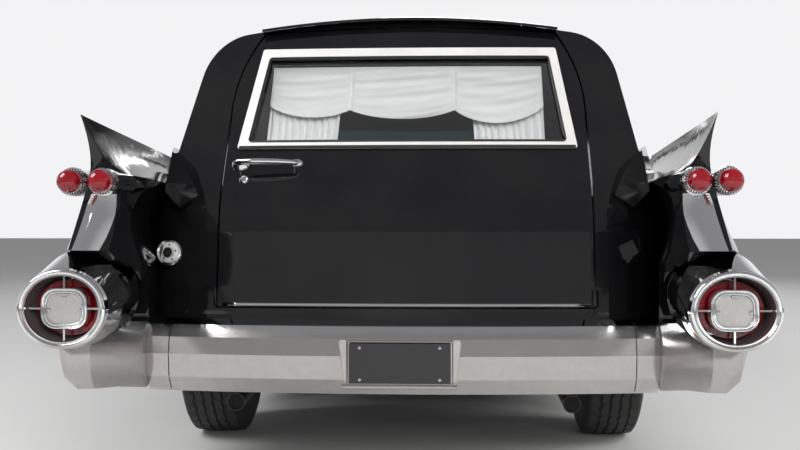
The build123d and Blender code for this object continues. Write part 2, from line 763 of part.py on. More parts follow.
# Bumpers. The front one's ends stay clear of the steered wheels, and its pods hold the parking lamps.
bumper_half = overall_width / 2 - 13.5
bumper_end_y = front_axle_y + tyre_radius + 168
with BuildPart() as front_bumper:
    with BuildSketch(Plane.XY.offset(375)):
        with BuildLine():
            outer_arc = ThreePointArc((-bumper_half, bumper_end_y), (0, front_y), (bumper_half, bumper_end_y))
            Line(outer_arc @ 1, (bumper_half - 60, bumper_end_y - 25))
            ThreePointArc((bumper_half - 60, bumper_end_y - 25), (0, front_y - 62),
                          (60 - bumper_half, bumper_end_y - 25))
            Line((60 - bumper_half, bumper_end_y - 25), outer_arc @ 0)
        make_face()
    extrude(amount=165)
    fillet(front_bumper.edges().filter_by(GeomType.CIRCLE).group_by(Axis.Y)[-1], 20)
    for x in (-bumper_pod_x, bumper_pod_x):
        add(ellipse_block(x, bumper_pod_z, 165, 78, bumper_pod_y - 150, bumper_pod_y))
        add(ellipse_block(x, bumper_pod_z, 148, 61, bumper_pod_y - bumper_pod_depth, bumper_pod_y + 5),
            mode=Mode.SUBTRACT)
export(front_bumper.part, "front_bumper")

bumper_axis_y = bumper_profile[4][0] + bumper_seam_x ** 2 / (2 * bumper_bow)
bumper_turn = 10.0
start = radians(bumper_turn)
bumper_plane = Plane((0, bumper_axis_y, 0), x_dir=(-sin(start), -cos(start), 0), z_dir=(-cos(start), sin(start), 0))
with BuildPart() as bumper_bar:
    with BuildSketch(bumper_plane):
        add(flat([(bumper_axis_y - y, z) for y, z in bumper_profile]))
    revolve(axis=Axis((0, bumper_axis_y, 0), (0, 0, 1)), revolution_arc=2 * bumper_turn)
    add(box_between((-bumper_seam_x + 0.2, -3000, 300), (bumper_seam_x - 0.2, -2400, 600)), mode=Mode.INTERSECT)
    add(tail_plan_loft(-4), mode=Mode.SUBTRACT)
plate_recess = tail_block([(-182, 502), (-165, 363), (165, 363), (182, 502)], 8, -2900, -2864)
with BuildPart() as rear_bumper:
    add(bumper_bar.part)
    add(plate_recess, mode=Mode.SUBTRACT)
export(rear_bumper.part, "rear_bumper")

# Nacelles at the bumper ends, each with its reversing-lamp ring on four spokes
nacelle_rows = [
    (rear_y, nacelle_z, nacelle_half_width - 7, nacelle_half_height - 7),
    (rear_y + 16, nacelle_z + 1, nacelle_half_width, nacelle_half_height + 1),
    (rear_y + 60, nacelle_z + 6, nacelle_half_width - 2, nacelle_half_height + 11),
    (rear_y + 150, nacelle_z + 20, nacelle_half_width - 1, nacelle_half_height + 27),
    (-2850, nacelle_z + 22, nacelle_half_width - 12, nacelle_half_height + 20),
]
with BuildPart() as nacelle_shape:
    for y, z, rx, rz in nacelle_rows:
        with BuildSketch(Plane.XZ.offset(-y)):
            with Locations((nacelle_x, z)):
                Ellipse(rx, rz)
    loft(ruled=True)
    add(skirt_loft())
    add(ellipse_block(nacelle_x, nacelle_z, mouth_half_width, mouth_half_height, rear_y - 10, rear_y + mouth_depth),
        mode=Mode.SUBTRACT)
bezel_y = rear_y + 22
with BuildPart() as lamp_ring:
    with BuildSketch(Plane.XZ.offset(-bezel_y)):
        with Locations((nacelle_x, nacelle_z)):
            RectangleRounded(128, 112, 40)
            RectangleRounded(98, 84, 30, mode=Mode.SUBTRACT)
            Rectangle(5, 2 * mouth_half_height + 4)
            Rectangle(2 * mouth_half_width + 4, 5)
            RectangleRounded(98, 84, 30, mode=Mode.SUBTRACT)
    extrude(amount=-26)
with BuildPart() as bumper_end:
    add(nacelle_shape.part)
    add(lamp_ring.part)
export(bumper_end.part, "bumper_end_right")
export(mirrored(bumper_end.part), "bumper_end_left")
with BuildPart() as reversing_lens:
    with BuildSketch(Plane.XZ.offset(-bezel_y - 4)):
        with Locations((nacelle_x, nacelle_z)):
            RectangleRounded(97.4, 83.4, 29.7)
    extrude(amount=-20)
export(both_sides(reversing_lens.part), "reversing_lenses")
reflector = ellipse_block(nacelle_x, nacelle_z, mouth_half_width - 12, mouth_half_height - 12,
                          bezel_y + 45, rear_y + mouth_depth)
export(both_sides(reflector), "reflectors")

# Twin bullet lamps
lenses = [bullet_lens.moved(Location((x, lamp_y + 2, lamp_z))) for x in lamp_centres_x]
export(Compound(pods + [mirrored(s) for s in pods]), "tail_lamp_pods")
export(Compound(lenses + [mirrored(s) for s in lenses]), "tail_lamp_lenses")

# Wheels, drawn about their own centre with +X outward
wheel_x = track / 2
half_tread = 92.0
tyre_side = [(82, rim_radius + 0.3), (106, 238), (tyre_width / 2, 288), (107, 338), (half_tread + 7, 364),
             (half_tread - 7, tyre_radius - 2)]
with BuildPart() as tyre_shape:
    with BuildSketch(Plane.XY):
        with BuildLine():
            Polyline(*tyre_side, (0, tyre_radius), *[(-x, r) for x, r in reversed(tyre_side)], close=True)
        make_face()
    revolve(axis=Axis.X)
hub_face = wheel_x - (kingpin_x + 88.3)
with BuildPart() as rim_shape:
    with BuildSketch(Plane.XY):
        with BuildLine():
            Polyline((-hub_face, 0), (-hub_face, 75), (-30, 100), (-12, 168), (-84, 172), (-84, rim_radius),
                     (84, rim_radius), (84, 178), (20, 168), (24, 150), (58, 118), (76, 50), (80, 0),
                     close=True)
        make_face()
    revolve(axis=Axis.X)
wheel_rows = [
    ("front", front_axle_y),
    ("rear", rear_axle_y),
]
for wheel_name, y in wheel_rows:
    tyre = tyre_shape.part.moved(Location((wheel_x, y, tyre_radius)))
    rim = rim_shape.part.moved(Location((wheel_x, y, tyre_radius)))
    export(tyre, f"tyre_{wheel_name}_right")
    export(mirrored(tyre), f"tyre_{wheel_name}_left")
    export(rim, f"rim_{wheel_name}_right")
    export(mirrored(rim), f"rim_{wheel_name}_left")

# Running gear
hub_x = wheel_x - hub_face - running_gap
with BuildPart() as knuckle:
    with BuildSketch(Plane.XY.offset(kingpin_low_z)):
        with Locations((kingpin_x, front_axle_y)):
            Circle(20)
    extrude(amount=kingpin_high_z - kingpin_low_z)
    add(rod(hub_x - drum_width, hub_x, front_axle_y, tyre_radius, drum_radius))
    add(box_between((kingpin_x, front_axle_y - 35, 300), (hub_x - drum_width + 5, front_axle_y + 35, 470)))
export(knuckle.part, "knuckle_right")
export(mirrored(knuckle.part), "knuckle_left")

# Chassis frame: side rails in side view, then cross members by station, low and high face
rail_in_x = 370.0
rail_out_x = 430.0
rail_front_y = nose_y
kick_rear_y = rear_axle_y + 520
rail_outline = [(rail_front_y, 390), (rail_front_y, 440), (nose_y - 150, 440), (nose_y - 230, 330), (1900, 330),
                (1560, 270), (kick_rear_y + 250, 270), (kick_rear_y, 558), (-2450, 558), (-2450, 515), (-2830, 515),
                (-2830, 470), (kick_rear_y - 50, 470), (kick_rear_y + 190, 180), (1560, 180), (1860, 250),
                (nose_y - 210, 250), (nose_y - 125, 390)]
cross_rows = [
    (nose_y - 350, 260, 320),
    (front_axle_y, 195, 255),
    (800, 190, 250),
    (-600, 190, 250),
    (-2350, 480, 545),
]
frame_rail = side_block(rail_outline, 0, rail_in_x, rail_out_x)
with BuildPart() as chassis_shape:
    add(frame_rail)
    add(mirrored(frame_rail))
    for y, z0, z1 in cross_rows:
        add(box_between((-rail_in_x - 5, y - 40, z0), (rail_in_x + 5, y + 40, z1)))
    add(front_bumper.part, mode=Mode.SUBTRACT)
    add(bumper_bar.part, mode=Mode.SUBTRACT)
chassis = biggest(chassis_shape.part)
export(chassis, "chassis_frame")

# Front suspension arms and their towers, seated on the rails
arm_low_z = 232.0
arm_high_z = kingpin_high_z + 24
arm_end_x = kingpin_x + 26
with BuildPart() as arms:
    add(box_between((rail_out_x - 60, front_axle_y - 30, arm_low_z),
                    (arm_end_x, front_axle_y + 30, kingpin_low_z - running_gap)))
    add(box_between((rail_out_x - 50, front_axle_y - 30, kingpin_high_z + running_gap),
                    (arm_end_x, front_axle_y + 30, arm_high_z)))
    add(box_between((rail_out_x - 50, front_axle_y - 60, 330), (rail_out_x, front_axle_y + 60, arm_high_z)))
    add(chassis, mode=Mode.SUBTRACT)
arm_solids = [s for s in arms.part.solids() if s.volume > 1000]
export(Compound(arm_solids + [mirrored(s) for s in arm_solids]), "front_suspension")

# Rear axle with its drums, gear case and leaf springs
case_radius = 135.0
nose_length = 230.0
spring_half = 600.0
with BuildPart() as spring:
    with BuildSketch(Plane.YZ.offset(rail_in_x)):
        with BuildLine():
            top = ThreePointArc((rear_axle_y - spring_half, 469), (rear_axle_y, 343), (rear_axle_y + spring_half, 330))
            Line(top @ 1, (rear_axle_y + spring_half, 312))
            ThreePointArc((rear_axle_y + spring_half, 312), (rear_axle_y, 322), (rear_axle_y - spring_half, 448))
            Line((rear_axle_y - spring_half, 448), top @ 0)
        make_face()
    extrude(amount=rail_out_x - rail_in_x)
with BuildPart() as axle:
    add(rod(-hub_x, hub_x, rear_axle_y, tyre_radius, 42))
    add(rod(hub_x - drum_width, hub_x, rear_axle_y, tyre_radius, drum_radius))
    add(rod(-hub_x, drum_width - hub_x, rear_axle_y, tyre_radius, drum_radius))
    add(rod(-110, 110, rear_axle_y, tyre_radius, case_radius))
    add(box_between((-60, rear_axle_y, 330), (60, rear_axle_y + nose_length, 440)))
    add(spring.part)
    add(mirrored(spring.part))
    add(chassis, mode=Mode.SUBTRACT)
export(axle.part, "rear_axle")

with BuildPart() as engine:
    add(box_between((-290, 1790, 255.3), (290, 2640, 840)))
    add(chassis, mode=Mode.SUBTRACT)
export(engine.part, "engine")

# Propeller shaft, exhausts and tank
shaft_start = (0, rear_axle_y + nose_length + running_gap, 385)
shaft_end = (0, 1790 - running_gap, 390)
with BuildPart() as shaft:
    with BuildLine() as shaft_line:
        Line(shaft_start, shaft_end)
    with BuildSketch(Plane(shaft_line.line @ 0, z_dir=(0, 1, 0))):
        Circle(38)
    sweep()
export(shaft.part, "propeller_shaft")

exhaust_x = 470.0
exhaust_tail_x = exhaust_x + 60
exhaust_route = [
    (exhaust_x, 1700, 215), (exhaust_x, rear_axle_y + 800, 215), (exhaust_tail_x, rear_axle_y + 600, 235),
    (exhaust_tail_x, rear_axle_y + 470, 500), (exhaust_tail_x, rear_axle_y - 450, 500),
    (exhaust_tail_x, rear_axle_y - 650, 300), (exhaust_tail_x, -2640, 280),
]
with BuildPart() as exhaust:
    add(tube_along(exhaust_route, 60, 27))
    add(box_between((exhaust_x - 30, -500, 160), (exhaust_x + 200, 250, floor_z - floor_thickness - 10)))
export(both_sides(exhaust.part), "exhausts")

with BuildPart() as tank:
    add(box_between((-340, rear_axle_y - 660, 330), (340, rear_axle_y - 380, rear_floor_z)))
    add(chassis, mode=Mode.SUBTRACT)
export(tank.part, "fuel_tank")

# Floor, sills, wheelhouses and firewall foot
half_floor = 864.0
rear_floor_half = 640.0
rear_floor_top_z = rear_floor_z + 22
tail_floor_y = rear_axle_y - 740
wheelhouse_out_x = 945.0
sill_zone = box_between((830, side_door_rear_y - half_gap, 0), (1100, front_door_y + half_gap, door_bottom_z - 6))
sill = inside(lower_block(0, belt_z, -1000, 1400), sill_zone)
with BuildPart() as wheelhouse:
    with BuildSketch(Plane.YZ.offset(rear_floor_half - 5)):
        with Locations((rear_axle_y, arch_z)):
            Circle(arch_radius + 28)
            Circle(arch_radius + 8, mode=Mode.SUBTRACT)
        with Locations((rear_axle_y, 0)):
            Rectangle(1200, 2 * rear_floor_z - 40, mode=Mode.SUBTRACT)
    extrude(amount=wheelhouse_out_x - rear_floor_half)
    with BuildSketch(Plane.YZ.offset(rear_floor_half - 5)):
        with Locations((rear_axle_y, arch_z)):
            Circle(arch_radius + 28)
        with Locations((rear_axle_y, 0)):
            Rectangle(1200, 2 * rear_floor_z, mode=Mode.SUBTRACT)
    extrude(amount=15)
with BuildPart() as floor:
    add(box_between((-half_floor, rear_floor_front_y, floor_z - floor_thickness - 10),
                    (half_floor, firewall_y + 20, floor_z - 10)))
    add(sill)
    add(mirrored(sill))
    add(box_between((-half_floor, firewall_y, floor_z - 20), (half_floor, firewall_y + 20, 330)))
    add(box_between((-half_floor + 60, rear_floor_front_y, floor_z - 20),
                    (half_floor - 60, rear_floor_front_y + 20, deck_z - deck_thickness)))
    add(box_between((-rear_floor_half, tail_floor_y, rear_floor_z),
                    (rear_floor_half, rear_floor_front_y, rear_floor_top_z)))
    for x0, x1 in [(-well_half, -rear_floor_half), (rear_floor_half, well_half)]:
        add(box_between((x0, rear_axle_y + 470, rear_floor_z), (x1, rear_floor_front_y, rear_floor_top_z)))
    add(wheelhouse.part)
    add(mirrored(wheelhouse.part))
    add(box_between((-tunnel_half - 12, rear_floor_front_y, floor_z - 30),
                    (tunnel_half + 12, firewall_y + 20, tunnel_z + 12)))
    add(box_between((-tunnel_half, rear_floor_front_y - 10, 0), (tunnel_half, firewall_y + 30, tunnel_z)),
        mode=Mode.SUBTRACT)
    add(quarter, mode=Mode.SUBTRACT)
    add(mirrored(quarter), mode=Mode.SUBTRACT)
    add(chassis, mode=Mode.SUBTRACT)
export(biggest(floor.part), "floor_pan")

# Load deck with its rollers
deck_half = rear_floor_half - 8
export(box_between((-deck_half, tail_floor_y, deck_z - deck_thickness), (deck_half, rear_floor_front_y + 20, deck_z)),
       "load_deck")
roller_in_x = 260.0
roller_out_x = 400.0
roller_radius = 16.0
roller_stations = (-2250, -1900, -1550, -1200, -900)
with BuildPart() as roller_row:
    for y in roller_stations:
        add(rod(roller_in_x, roller_out_x, y, deck_z + 22, roller_radius))
        for x in (roller_in_x, roller_out_x - 6):
            add(box_between((x, y - 14, deck_z), (x + 6, y + 14, deck_z + 34)))
export(both_sides(roller_row.part), "deck_rollers")

# Centre pillars between the doors
pillar_half = 45.0
pillar_points = [(850, door_bottom_z - 6), (892, 420), (920, 560), (925, 640), (918, 800), (895, 930),
                 (890, 952), (812, 952), (688, rail_z - 8), (655, rail_z - 8), (770, 930), (850, 880),
                 (868, 640), (832, 420), (832, door_bottom_z - 6)]
export(both_sides(tail_block(pillar_points, 0, pillar_y - pillar_half, pillar_y + pillar_half)), "centre_pillars")

# Cabin furniture
seat_outline = [(760, 290), (800, 400), (800, 540), (330, 560), (215, 980), (110, 980), (190, 290)]
with BuildPart() as seat:
    add(side_block(seat_outline, 25, -690, 690))
    add(box_between((-tunnel_half - 20, 0, 200), (tunnel_half + 20, 900, tunnel_z + 20)), mode=Mode.SUBTRACT)
export(seat.part, "front_seat")
dash_top_z = belt_z - nose_wall
dash_outline = [(firewall_y, dash_top_z), (firewall_y, 760), (1420, 740), (1370, 800), (1380, 930),
                (1430, dash_top_z)]
dashboard = side_block(dash_outline, 0, -split_x, split_x)
export(dashboard, "dashboard")
steering_centre = (-380.0, 1105.0, 890.0)
column_foot = (-380.0, 1630.0, 520.0)
with BuildPart() as steering:
    with BuildLine() as column_line:
        Line(steering_centre, column_foot)
    wheel_plane = Plane(column_line.line @ 0, z_dir=column_line.line % 0)
    with BuildSketch(wheel_plane):
        Circle(22)
    sweep()
    with BuildSketch(wheel_plane):
        Circle(206)
        Circle(186, mode=Mode.SUBTRACT)
        Rectangle(390, 26)
        Circle(55)
    extrude(amount=16)
    add(dashboard, mode=Mode.SUBTRACT)
    add(cowl, mode=Mode.SUBTRACT)
export(biggest(steering.part), "steering_wheel")

# Round lock cap on the left quarter, beside the rear door
cap_x = -792.0
cap_y = -2462.0
cap_z = 750.0
# Columns: radius, front face and rear face behind cap_y
cap_steps = [(45.0, 120.0, 0.0), (34.0, 0.0, -6.0), (17.0, -6.0, -12.0)]
with BuildPart() as lock_cap:
    for radius, front, back in cap_steps:
        with BuildSketch(Plane.XZ.offset(-cap_y - front)):
            with Locations((cap_x, cap_z)):
                Circle(radius)
        extrude(amount=front - back)
    add(mirrored(quarter), mode=Mode.SUBTRACT)
export(lock_cap.part.solids().sort_by(Axis.Y)[0], "lock_cap")
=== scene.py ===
# Looks for the long funeral coach: finishes, small trim, tread, drapes and seat cloth.
# Frame: +Y forward, +X right, +Z up, metres. The CAD nodes are never moved.
import json
import math

import bmesh
import bpy
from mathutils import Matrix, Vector, noise
from mathutils.bvhtree import BVHTree

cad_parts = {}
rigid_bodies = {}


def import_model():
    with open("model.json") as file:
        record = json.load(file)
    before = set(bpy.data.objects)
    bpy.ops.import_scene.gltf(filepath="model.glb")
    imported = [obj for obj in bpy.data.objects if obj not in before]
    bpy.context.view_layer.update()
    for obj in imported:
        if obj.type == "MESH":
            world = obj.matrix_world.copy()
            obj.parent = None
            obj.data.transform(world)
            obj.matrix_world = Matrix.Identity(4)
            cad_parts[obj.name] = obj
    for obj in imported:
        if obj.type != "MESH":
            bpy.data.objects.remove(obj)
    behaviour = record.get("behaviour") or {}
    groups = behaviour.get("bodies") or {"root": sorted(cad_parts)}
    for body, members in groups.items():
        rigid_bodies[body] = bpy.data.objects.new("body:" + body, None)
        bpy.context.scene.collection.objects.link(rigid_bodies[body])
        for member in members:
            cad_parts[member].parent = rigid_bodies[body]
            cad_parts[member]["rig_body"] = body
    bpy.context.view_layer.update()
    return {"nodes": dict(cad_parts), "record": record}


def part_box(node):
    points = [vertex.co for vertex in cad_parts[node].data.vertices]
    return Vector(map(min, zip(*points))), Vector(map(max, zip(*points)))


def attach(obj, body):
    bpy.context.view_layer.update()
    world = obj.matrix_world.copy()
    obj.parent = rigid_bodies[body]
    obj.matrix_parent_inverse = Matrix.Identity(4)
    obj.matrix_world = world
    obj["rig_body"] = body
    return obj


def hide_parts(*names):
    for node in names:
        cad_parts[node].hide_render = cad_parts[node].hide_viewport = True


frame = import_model()
nodes = frame["nodes"]
scene = bpy.context.scene


# Materials

class Shader:
    """A node tree for one procedural material, addressed by object position."""

    def __init__(self, name):
        self.mat = bpy.data.materials.new(name)
        self.mat.use_nodes = True
        self.tree = self.mat.node_tree
        self.tree.nodes.clear()
        self.out = self.add("ShaderNodeOutputMaterial")
        self.place = self.add("ShaderNodeTexCoord").outputs["Object"]

    def add(self, kind, **settings):
        node = self.tree.nodes.new(kind)
        for key, value in settings.items():
            setattr(node, key, value)
        return node

    def link(self, source, target):
        self.tree.links.new(source, target)

    def noise(self, scale, detail=4.0, rough=0.55, stretch=None):
        source = self.place
        if stretch:
            mapping = self.add("ShaderNodeMapping")
            mapping.inputs["Scale"].default_value = stretch
            self.link(self.place, mapping.inputs["Vector"])
            source = mapping.outputs["Vector"]
        tex = self.add("ShaderNodeTexNoise")
        tex.inputs["Scale"].default_value = scale
        tex.inputs["Detail"].default_value = detail
        tex.inputs["Roughness"].default_value = rough
        self.link(source, tex.inputs["Vector"])
        return tex.outputs["Fac"]

    def ramp(self, fac, dark_at, light_at):
        """Black below one position, white above another, and an even grey step between them."""
        ramp = self.add("ShaderNodeValToRGB")
        for element, at, grey in zip(ramp.color_ramp.elements, (dark_at, light_at), (0.0, 1.0)):
            element.position = at
            element.color = (grey, grey, grey, 1)
        self.link(fac, ramp.inputs["Fac"])
        return ramp.outputs["Color"]

    def math(self, kind, a, b=0.0, clamp=False):
        node = self.add("ShaderNodeMath", operation=kind, use_clamp=clamp)
        for socket, value in zip(node.inputs, (a, b)):
            if isinstance(value, (int, float)):
                socket.default_value = value
            else:
                self.link(value, socket)
        return node.outputs["Value"]

    def scaled(self, value, factor, offset):
        """value times factor, plus offset."""
        return self.math("ADD", self.math("MULTIPLY", value, factor), offset)

    def axis(self, name):
        split = self.add("ShaderNodeSeparateXYZ")
        self.link(self.place, split.inputs["Vector"])
        return split.outputs[name]

    def between(self, value, low, high):
        """0 below low, 1 above high, a smooth step between them."""
        node = self.add("ShaderNodeMapRange", interpolation_type="SMOOTHSTEP")
        node.inputs["From Min"].default_value = low
        node.inputs["From Max"].default_value = high
        self.link(value, node.inputs["Value"])
        return node.outputs["Result"]

    def mix(self, fac, a, b):
        """Colour a where fac is 0 and colour b where it is 1."""
        node = self.add("ShaderNodeMix", data_type="RGBA")
        self.link(fac, node.inputs[0])
        for socket, value in ((node.inputs[6], a), (node.inputs[7], b)):
            if isinstance(value, tuple):
                socket.default_value = (*value, 1)
            else:
                self.link(value, socket)
        return node.outputs[2]

    def bump(self, height, strength, distance):
        node = self.add("ShaderNodeBump")
        node.inputs["Strength"].default_value = strength
        node.inputs["Distance"].default_value = distance
        self.link(height, node.inputs["Height"])
        return node.outputs["Normal"]

    def principled(self, normal=None, **values):
        node = self.add("ShaderNodeBsdfPrincipled")
        for key, value in values.items():
            socket = node.inputs[key.replace("_", " ")]
            if isinstance(value, (int, float)):
                socket.default_value = value
            else:
                self.link(value, socket)
        if normal:
            self.link(normal, node.inputs["Normal"])
        return node.outputs["BSDF"]

    def done(self, surface):
        self.link(surface, self.out.inputs["Surface"])
        return self.mat


# Places in metres that the finishes follow
ROAD_DIRT_Z = (0.62, 0.22)
# The rear bumper's face below its top shelf: worn there, and carrying a painted reflection of the ground
BUMPER_BACK_Y = (-2.76, -2.79)
BUMPER_FACE_Z = (0.545, 0.51)
SCREEN_SHADE_Z = (1.37, 1.43)
SCREEN_Y = (0.90, 1.00)


def black_paint():
    """Polished black with faint waves and road dust toward the sills."""
    s = Shader("black_paint")
    grime = s.noise(2.6, 8, 0.62)
    low = s.between(s.axis("Z"), *ROAD_DIRT_Z)
    dust = s.math("MULTIPLY", s.ramp(grime, 0.42, 0.72), s.scaled(low, 0.55, 0.05))
    colour = s.mix(dust, (0.0030, 0.0030, 0.0038), (0.085, 0.070, 0.055))
    rough = s.math("ADD", s.math("MULTIPLY", grime, 0.07), s.math("MULTIPLY", dust, 0.5))
    wave = s.bump(s.noise(1.6, 1, 0.5), 0.05, 0.010)
    return s.done(s.principled(wave, Base_Color=colour, Roughness=s.math("ADD", rough, 0.03),
                               Specular_IOR_Level=0.55))


def chrome():
    """Bright plate, worn rough on the rear bumper's face and tinted there as a painted reflection of the ground, with
    a few rust specks.
    """
    s = Shader("chrome")
    band = s.math("MULTIPLY", s.between(s.axis("Z"), *BUMPER_FACE_Z), s.between(s.axis("Y"), *BUMPER_BACK_Y))
    wear = s.noise(34, 6, 0.7)
    pit = s.ramp(s.noise(210, 3, 0.6), 0.66, 0.76)
    # Mask for the worn face, also used as the mix for the painted ground reflection in its colour
    dull_and_painted_reflection = s.math("MULTIPLY", band, s.scaled(wear, 0.35, 0.45), clamp=True)
    clean = s.mix(s.noise(9, 5), (0.72, 0.72, 0.73), (0.86, 0.86, 0.86))
    # Painted reflection: the rear-facing face is tinted toward the colour of the ground it faces
    painted_ground_reflection = s.mix(wear, (0.25, 0.220, 0.208), (0.37, 0.335, 0.318))
    colour = s.mix(s.math("MULTIPLY", dull_and_painted_reflection, 1.15, clamp=True), clean, painted_ground_reflection)
    specks = s.math("MULTIPLY", pit, s.scaled(band, 0.45, 0.04))
    colour = s.mix(specks, colour, (0.055, 0.035, 0.025))
    metal = s.math("SUBTRACT", 1.0, s.math("MULTIPLY", dull_and_painted_reflection, 0.15))
    rough = s.math("ADD", s.math("MULTIPLY", dull_and_painted_reflection, 0.24), s.math("MULTIPLY", s.noise(16, 5), 0.07))
    return s.done(s.principled(s.bump(s.noise(7, 3), 0.05, 0.01), Base_Color=colour, Metallic=metal,
                               Roughness=s.math("ADD", rough, s.math("MULTIPLY", specks, 0.3))))


def glass():
    """Thin clear glass that lets shadow rays through, with a shaded band at the windshield's top."""
    s = Shader("clear_glass")
    tint = (0.965, 0.97, 0.97)
    clear = s.add("ShaderNodeBsdfTransparent")
    shade_band = s.math("MULTIPLY", s.between(s.axis("Z"), *SCREEN_SHADE_Z), s.between(s.axis("Y"), *SCREEN_Y))
    pane = s.mix(s.noise(3), tint, tuple(c * 0.98 for c in tint))
    s.link(s.mix(shade_band, pane, (0.13, 0.19, 0.19)), clear.inputs["Color"])
    shine = s.add("ShaderNodeBsdfGlossy")
    shine.inputs["Color"].default_value = (0.9, 0.9, 0.9, 1)
    s.link(s.math("MULTIPLY", s.noise(5, 4), 0.05), shine.inputs["Roughness"])
    fresnel = s.add("ShaderNodeFresnel")
    fresnel.inputs["IOR"].default_value = 1.45
    mix = s.add("ShaderNodeMixShader")
    s.link(s.scaled(fresnel.outputs["Fac"], 1.1, 0.015), mix.inputs["Fac"])
    s.link(clear.outputs["BSDF"], mix.inputs[1])
    s.link(shine.outputs["BSDF"], mix.inputs[2])
    return s.done(mix.outputs["Shader"])


def lens(name, deep, light, rough=0.12, coat=0.6):
    """A moulded lens, faintly dimpled."""
    s = Shader(name)
    return s.done(s.principled(s.bump(s.noise(60, 2), 0.25, 0.002), Base_Color=s.mix(s.noise(18, 4), deep, light),
                               Roughness=s.scaled(s.noise(30), 0.1, rough), Coat_Weight=coat, Coat_Roughness=0.05))


def matt(name, dark, light, scale=12.0, rough=0.6, bump=(0.2, 0.002), metallic=0.0, stretch=None):
    """A plain finish that wanders between two colours."""
    s = Shader(name)
    fac = s.noise(scale, 6, 0.6, stretch)
    return s.done(s.principled(s.bump(s.noise(scale * 6, 4), *bump), Base_Color=s.mix(fac, dark, light),
                               Roughness=s.scaled(fac, 0.2, rough - 0.1), Metallic=metallic))


def rubber():
    """Black rubber with dry road dirt."""
    s = Shader("tyre_rubber")
    dirt = s.ramp(s.noise(9, 6, 0.6), 0.35, 0.75)
    colour = s.mix(s.math("MULTIPLY", dirt, 0.5), (0.016, 0.016, 0.017), (0.052, 0.047, 0.041))
    return s.done(s.principled(s.bump(s.noise(160, 3), 0.25, 0.001), Base_Color=colour,
                               Roughness=s.scaled(dirt, 0.18, 0.55)))


def cloth(name, dark, light, weave, rough, satin=0.0):
    """Woven cloth, with a satin gloss where satin is over 0."""
    s = Shader(name)
    wave = s.add("ShaderNodeTexWave", wave_type="BANDS", bands_direction="DIAGONAL")
    wave.inputs["Scale"].default_value = weave / 6.3
    wave.inputs["Distortion"].default_value = 2.0
    s.link(s.place, wave.inputs["Vector"])
    return s.done(s.principled(s.bump(wave.outputs["Fac"], 0.10, 0.0006), Base_Color=s.mix(s.noise(7, 5), dark, light),
                               Roughness=s.scaled(s.noise(25), 0.1, rough - 0.05), Sheen_Weight=0.3,
                               Coat_Weight=satin, Coat_Roughness=0.35))


materials = {
    "black_paint": black_paint(),
    "chrome": chrome(),
    "clear_glass": glass(),
    "lamp_glass": lens("lamp_glass", (0.50, 0.53, 0.55), (0.72, 0.74, 0.75), 0.08),
    "red_lens": lens("red_lens", (0.115, 0.001, 0.004), (0.21, 0.002, 0.007), 0.05, coat=0.25),
    "dark_red": lens("dark_red", (0.050, 0.006, 0.008), (0.105, 0.011, 0.013), 0.25),
    "pale_lens": lens("pale_lens", (0.235, 0.230, 0.220), (0.340, 0.335, 0.320), 0.22),
    "tyre_rubber": rubber(),
    "wheel_cover": matt("wheel_cover", (0.60, 0.60, 0.61), (0.80, 0.80, 0.80), 14, 0.18, (0.05, 0.001), 1.0),
    "satin_trim": matt("satin_trim", (0.60, 0.59, 0.57), (0.76, 0.75, 0.73), 16, 0.42, (0.06, 0.001), 0.35),
    "curtain_satin": cloth("curtain_satin", (0.84, 0.84, 0.84), (0.93, 0.93, 0.92), 900, 0.40, 0.25),
    "seat_cloth": cloth("seat_cloth", (0.055, 0.055, 0.060), (0.10, 0.10, 0.105), 700, 0.75),
    "cabin_trim": matt("cabin_trim", (0.050, 0.050, 0.053), (0.09, 0.09, 0.095), 20, 0.6),
    "deck_board": matt("deck_board", (0.16, 0.085, 0.04), (0.30, 0.17, 0.085), 5, 0.35, (0.1, 0.001),
                       stretch=(9, 0.5, 9)),
    "roller_steel": matt("roller_steel", (0.42, 0.42, 0.42), (0.62, 0.62, 0.61), 30, 0.3, (0.1, 0.001), 0.9),
    "frame_black": matt("frame_black", (0.018, 0.017, 0.016), (0.055, 0.045, 0.038), 9, 0.62, (0.4, 0.003)),
    "underbody": matt("underbody", (0.020, 0.019, 0.018), (0.050, 0.044, 0.038), 7, 0.75, (0.5, 0.004)),
    "iron": matt("iron", (0.045, 0.042, 0.040), (0.12, 0.10, 0.085), 14, 0.6, (0.4, 0.002), 0.6),
    "exhaust_steel": matt("exhaust_steel", (0.055, 0.044, 0.038), (0.15, 0.13, 0.115), 10, 0.5, (0.4, 0.002), 0.8),
    "seal": matt("seal", (0.010, 0.010, 0.010), (0.026, 0.026, 0.026), 30, 0.6),
    "mouth_grey": matt("mouth_grey", (0.040, 0.032, 0.033), (0.085, 0.070, 0.070), 10, 0.5),
    "plate_black": matt("plate_black", (0.010, 0.010, 0.011), (0.022, 0.022, 0.024), 8, 0.35),
    # Near black: in this script's own pieces, painted shade in the exhaust mouths and the lock cap's recess, and the
    # dark joints of the bumper seams
    "gap_dark": matt("gap_dark", (0.004, 0.004, 0.004), (0.010, 0.010, 0.010), 20, 0.9),
}

for entry in frame["record"]["subparts"]:
    node = nodes[entry["node"]]
    node.data.materials.clear()
    node.data.materials.append(materials[entry["material_slot"]])


# Directions, steps and mesh helpers

SIDEWAYS, FORWARD, UPWARD = Vector((1, 0, 0)), Vector((0, 1, 0)), Vector((0, 0, 1))
REARWARD = -FORWARD
BEHIND = -3.4  # Y behind the whole vehicle, where rays toward the tail start


def lerp(a, b, t):
    return a + (b - a) * t


def spread(a, b, steps):
    """Even steps from a to b, both included."""
    return [lerp(a, b, k / steps) for k in range(steps + 1)]


def turn(count):
    """The angles of one full turn."""
    return [2 * math.pi * k / count for k in range(count)]


